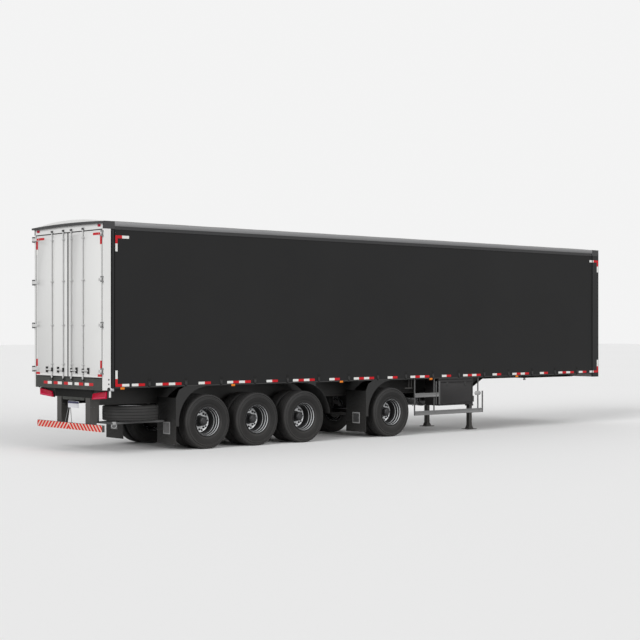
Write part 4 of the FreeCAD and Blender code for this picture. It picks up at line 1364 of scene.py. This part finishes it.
# Landing legs: square tubes with gussets, gearbox, rocking feet, shaft and crank
leg = {"y": 0.712, "split": 0.560, "outer": (0.070, 0.065), "inner": (0.052, 0.048), "collar": (0.006, 0.045),
       "innerLow": 0.062, "foot": (0.140, 0.120, 0.012), "ankles": (-0.060, 0.048), "ankleGauge": 0.012,
       "ankle": ((-0.090, 0.010), (0.090, 0.010), (0.045, 0.088), (-0.045, 0.088)), "pivot": (0.070, 0.014),
       "gearbox": (0.085, 0.655, 0.800), "plate": (0.110, 0.515, 0.525, 0.955, 1.245),
       "gussets": (-0.060, 0.050), "gussetGauge": 0.010, "boltRadius": 0.012,
       "bolts": ((-0.085, 0.085), (0.99, 1.10, 1.21)),
       "shaftZ": 0.720, "crankZ": 0.980, "gripZ": 0.772, "linkOut": 0.028}


def makeLegs():
    low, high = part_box("landing_gear")
    x, y, split = (low.x + high.x) / 2, leg["y"], leg["split"]
    outX, outY = leg["outer"]
    inX, inY = leg["inner"]

    def centred(name, halfX, halfY, z0, z1, edge, segments=2):
        return softBox(name, (x - halfX, y - halfY, z0), (x + halfX, y + halfY, z1), edge, segments)

    rim, deep = leg["collar"]
    footX, footY, footTop = leg["foot"]
    parts = [centred("tube", outX, outY, split, high.z, 0.014, 3),
             centred("collar", outX + rim, outY + rim, split, split + deep, 0.010),
             centred("inner", inX, inY, leg["innerLow"], split + 0.01, 0.010, 3),
             framedBox("foot", (x - footX, y - footY, 0.0), (x + footX, y + footY, footTop), ("Z", 1),
                       [(0.012, 0), (0.004, -0.004)], 0.003)]
    half, radius = leg["pivot"]
    parts.append(startRod("pivot", (x, y - half, half), (x, y + half, half), radius, 16))
    half, z0, z1 = leg["gearbox"]
    parts.append(framedBox("gearbox", (x - half, y - outY - 0.012, z0), (x + half, y + outY + 0.018, z1),
                           ("Y", 0), [(0.018, 0.006)], 0.012, 3))
    half, back, face, z0, z1 = leg["plate"]
    parts.append(softBox("plate", (x - half, back, z0), (x + half, face, z1), 0.004))
    for away in leg["ankles"]:
        ankle = startSlab("ankle", "Y", y + away, moved(leg["ankle"], x, 0), leg["ankleGauge"])
        parts.append(soften(ankle, 0.004))
    tubeSide = y - outY + 0.004
    for away in leg["gussets"]:
        outline = [(face, 0.960), (tubeSide, 1.000), (tubeSide, 1.225), (face, 1.240)]
        gusset = startSlab("gusset", "X", x + away, outline, leg["gussetGauge"])
        parts.append(soften(gusset, 0.002, 1))
    places, heights = leg["bolts"]
    parts += [startRod("bolt", (x + away, face, z), (x + away, face + 0.011, z), leg["boltRadius"], 6)
              for away in places for z in heights]
    bothSides(joined("leg", parts), "landingLeg", "chassisBlack", ["landing_gear"])
    # Shaft from leg to leg, and the crank on the left one
    shaftZ, crankZ, gripZ, out = leg["shaftZ"], leg["crankZ"], leg["gripZ"], y + outY
    rods = [soften(startRod("shaft", (x, -y + outY, shaftZ), (x, y - outY, shaftZ), 0.020, 20), 0.002, 1),
            soften(startRod("coupling", (x, -0.06, shaftZ), (x, 0.06, shaftZ), 0.028, 20), 0.003, 1),
            startRod("spindle", (x, out - 0.01, crankZ), (x, 1.176, crankZ), 0.013, 16),
            softBox("bent", (x - 0.012, 1.164, 0.760), (x + 0.012, 1.178, 0.992), 0.004),
            soften(startRod("grip", (x, 1.072, gripZ), (x, 1.172, gripZ), 0.013, 16), 0.004),
            softBox("housing", (x - 0.045, out - 0.01, 0.940), (x + 0.045, out + 0.055, 1.020), 0.012, 3),
            startRod("link", (x, out + leg["linkOut"], 0.700), (x, out + leg["linkOut"], 0.960), 0.012, 16)]
    finish(joined("landingShaft", rods), "steel", "root", ["landing_gear"])


makeLegs()

# Front wall: sockets with lids on a panel, round-headed marker lamps and rows of rivets
nose = {"sockets": (-0.22, -0.075, 0.075, 0.22), "socketZ": 1.37,
        "socket": ((0.008, 0.034), (0.014, 0.034), (0.016, 0.029), (0.024, 0.029), (0.026, 0.032),
                   (0.031, 0.030), (0.032, 0.0)),
        "lid": (0.006, 0.026, 0.020, 1.400, 1.414), "lamps": (-1.08, 1.08),
        "lamp": (0.030, 0.012, 0.045, 4.245, 4.285), "rivets": (-1.17, -1.0, -0.5, 0.0, 0.5, 1.0, 1.17),
        "rivet": (0.033, 0.028, 1.47, 0.008, 0.004), "rivetRows": 10, "rivetPitch": 0.31}


def makeNose():
    low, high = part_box("front_couplings")
    face = low.x
    panel = softBox("panel", (face, low.y, low.z), (face + 0.008, high.y, high.z), 0.003)
    x0, x1, half, z0, z1 = nose["lid"]
    heads = []
    for y in nose["sockets"]:
        heads.append(spun("socket", nose["socket"], (face, y, nose["socketZ"]), axis="X", steps=28))
        heads.append(softBox("lid", (face + x0, y - half, z0), (face + x1, y + half, z1), 0.004))
    finish(joined("couplingSockets", heads), "steel", "root", ["front_couplings"])
    finish(panel, "stayGrey", "root", ["front_couplings"])
    x0, x1, half, z0, z1 = nose["lamp"]
    lamps = [softBox("lamp", (noseFace - x0, y - half, z0), (noseFace - x1, y + half, z1), 0.008, 3)
             for y in nose["lamps"]]
    finish(joined("noseLamps", lamps), "lensClear")
    x0, x1, z, radius, headRadius = nose["rivet"]
    rivets = [startRod("rivet", (noseFace - x0, y, z), (noseFace - x1, y, z), radius, 8, headRadius)
              for y in nose["rivets"]]
    rivet = repeat(joined("noseRivets", rivets), nose["rivetRows"], (0, 0, nose["rivetPitch"]))
    finish(rivet, "zinc", "root")


makeNose()

# Curtain tensioners at the feet of the rear poles: bracket, lever, guard strip, knob and two screws on the
# post. Places are distances from the door
tensioner = {"bracket": ((0.148, 1.222, 1.216), (0.262, 1.258, 1.266)),
             "knob": ((0.110, 1.284, 1.248), (0.110, 1.3011, 1.248)),
             "shaft": ((0.215, 1.248, 1.222), (0.215, 1.248, 1.282)),
             "lever": ((0.134, 1.212), (0.238, 1.206), (0.238, 1.272), (0.156, 1.266), (0.134, 1.240)),
             "leverY": (1.258, 0.022), "strip": ((0.134, 1.262, 1.090), (0.178, 1.272, 1.216)),
             "screws": (1.344, 1.429)}


def makeTensioners():
    bracket = softBox("bracket", *fromX(doorFace, tensioner["bracket"]), 0.005)
    knob = soften(startRod("knob", *fromX(doorFace, tensioner["knob"]), 0.040, 24, 0.036), 0.002, 1)
    shaft = startRod("shaft", *fromX(doorFace, tensioner["shaft"]), 0.013, 16)
    y, gauge = tensioner["leverY"]
    lever = soften(startSlab("lever", "Y", y, moved(tensioner["lever"], doorFace, 0), gauge), 0.004)
    strip = softBox("strip", *fromX(doorFace, tensioner["strip"]), 0.003)
    x, y = doorFace + 0.110, 1.3011
    screws = [startRod("screw", (x, y - 0.0021, z), (x, y, z), 0.018, 16, 0.015) for z in tensioner["screws"]]
    bothSides(joined("dark", [bracket, knob, shaft]), "tensionerBody", "darkPlastic")
    bothSides(lever, "tensionerLever", "zinc")
    bothSides(strip, "tensionerGuard", "frameWhite")
    bothSides(joined("screws", screws), "postScrews", "guardIron")


makeTensioners()

# Brake chambers on the straight axles. Places are distances from the axle; a block ends with its edge
brake = {"can": ((0.0, 0.0), (0.0, 0.050), (0.012, 0.070), (0.050, 0.074), (0.056, 0.082), (0.070, 0.082),
                 (0.076, 0.074), (0.120, 0.074), (0.140, 0.068), (0.148, 0.040), (0.150, 0.0)),
         "canPlace": (-0.270, 0.290, 0.600), "rod": ((-0.125, 0.290, 0.600), (-0.040, 0.290, 0.600)),
         "arm": ((-0.055, 0.278, 0.545), (-0.020, 0.302, 0.640), 0.006),
         "stay": ((-0.130, 0.250, 0.560), (-0.120, 0.330, 0.650), 0.004),
         "foot": ((-0.130, 0.270, 0.545), (-0.030, 0.310, 0.566), 0.004)}


def makeBrakes():
    cans = []
    for x in axleX[:3]:
        cans.append(spun("can", brake["can"], *fromX(x, [brake["canPlace"]]), axis="X", steps=32))
        cans.append(startRod("rod", *fromX(x, brake["rod"]), 0.010, 12))
        for key in ("arm", "stay", "foot"):
            low, high, edge = brake[key]
            cans.append(softBox(key, *fromX(x, [low, high]), edge))
    bothSides(joined("cans", cans), "brakeChambers", "chassisBlack")


makeBrakes()

# A bright clamp at the spare carrier's outer corner, with a D-shackle under it, from the clamp's place
shackle = {"place": 0.440, "in": 0.018, "clamp": (0.040, 0.020, 0.008, 0.046), "bowRadius": 0.008,
           "bow": ((-0.050, -0.012), (-0.058, -0.040), (-0.036, -0.068), (0, -0.078), (0.036, -0.068),
                   (0.058, -0.040), (0.050, -0.012)), "pin": (0.062, -0.012, 0.009)}


def makeShackle():
    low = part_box("spare_carrier")[0]
    x, y, z = doorFace + shackle["place"], low.y + shackle["in"], low.z
    halfX, halfY, down, up = shackle["clamp"]
    clamp = softBox("clamp", (x - halfX, y - halfY, z - down), (x + halfX, y + halfY, z + up), 0.006, 3)
    half, rise, radius = shackle["pin"]
    cross = startRod("pin", (x - half, y, z + rise), (x + half, y, z + rise), radius, 12)
    bow = [(place, y, height) for place, height in moved(shackle["bow"], x, z)]
    rods = [startRod("bow", start, end, shackle["bowRadius"], 12) for start, end in zip(bow, bow[1:])]
    finish(joined("carrierShackle", [clamp, cross] + rods), "guardEnd", "root")


# Stay ahead of the front axle, hung from a cross member
lineStay = {"ends": (8.14, 8.38), "y": -1.0, "z": 1.050, "half": 0.014, "hangers": (0.10, 0.02),
            "hanger": (0.012, 0.005), "top": 1.306}


def makeLineBracket():
    x0, x1 = [doorFace + distance for distance in lineStay["ends"]]
    y, z, half = lineStay["y"], lineStay["z"], lineStay["half"]
    halfX, halfY = lineStay["hanger"]
    pieces = [softBox("bar", (x0, y - half, z - half), (x1, y + half, z + half), 0.004)]
    for x in [x1 - back for back in lineStay["hangers"]]:
        pieces.append(softBox("hanger", (x - halfX, y - halfY, z),
                              (x + halfX, y + halfY, lineStay["top"]), 0.004))
    finish(joined("lineBracket", pieces), "stayGrey", "root")


makeShackle()
makeLineBracket()
print("details done")

# Floor, light and camera
view = {"place": (-21.472, -23.889, 2.333), "heading": 49.237, "lens": 79.0, "shift": 0.0183}
light = {"ambient": 0.55, "key": (1.90, (66, 0, -74), 30), "fill": (1.35, (70, 0, 8), 40), "floor": 0.86,
         "floorLit": 0.30, "shown": 0.90, "floorSize": (400, 400)}


def seenRays(tree):
    # One where the camera, a gloss or a clear part looks at it
    rays = addNode(tree, "LightPath")
    seen = worked(tree, "MAXIMUM", (rays, "Is Camera Ray"), (rays, "Is Glossy Ray"))
    return worked(tree, "MAXIMUM", (seen, "Value"), (rays, "Is Transmission Ray"))


def makeFloor():
    ground = startGrid("ground", 4, 4, (0, 0, 0), light["floorSize"])
    look = startFinish("groundPale", {"Roughness": 0.9, "Specular IOR Level": 0.1})
    tree, shader = look[:2]
    slow = patterned(look, "TexNoise", Scale=0.05, Detail=2)
    ramp = tones(tree, slow, "Fac", [(0.3, grey(light["floor"])), (0.7, grey(light["floor"] * 1.01))])
    blend = addNode(tree, "MixRGB", Color1=(*grey(light["floorLit"]), 1))
    join(tree, seenRays(tree), "Value", blend, "Fac")
    join(tree, ramp, "Color", blend, "Color2")
    join(tree, blend, "Color", shader, "Base Color")
    ground.data.materials.append(finishes["groundPale"])


def makeWorld():
    # The lit world is softer than the one that shows
    world = bpy.data.worlds.new("studio")
    world.use_nodes = True
    bpy.context.scene.world = world
    tree = world.node_tree
    tree.nodes.clear()
    lit = addNode(tree, "Background", Color=(1, 1, 1, 1), Strength=light["ambient"])
    shown = addNode(tree, "Background", Color=(*grey(light["shown"]), 1), Strength=1.0)
    mix = addNode(tree, "MixShader")
    join(tree, seenRays(tree), "Value", mix, "Fac")
    join(tree, lit, "Background", mix, 1)
    join(tree, shown, "Background", mix, 2)
    join(tree, mix, "Shader", addNode(tree, "OutputWorld"), "Surface")


def makeLamp(name, strength, turn, size):
    clearSelection()
    bpy.ops.object.light_add(type="SUN", location=(0, 0, 20), rotation=[radians(angle) for angle in turn])
    made = bpy.context.object
    made.name = name
    made.data.energy = strength
    made.data.angle = radians(size)


def makeCamera():
    clearSelection()
    bpy.ops.object.camera_add(location=view["place"], rotation=(pi / 2, 0, radians(view["heading"] - 90)))
    camera = bpy.context.object
    camera.data.lens = view["lens"]
    camera.data.sensor_width = 36
    camera.data.shift_y = view["shift"]
    camera.data.clip_end = 1000
    bpy.context.scene.camera = camera


makeFloor()
makeWorld()
makeLamp("keyLamp", *light["key"])
makeLamp("fillLamp", *light["fill"])
makeCamera()
bpy.context.scene.view_settings.view_transform = "Standard"
print("stage done")
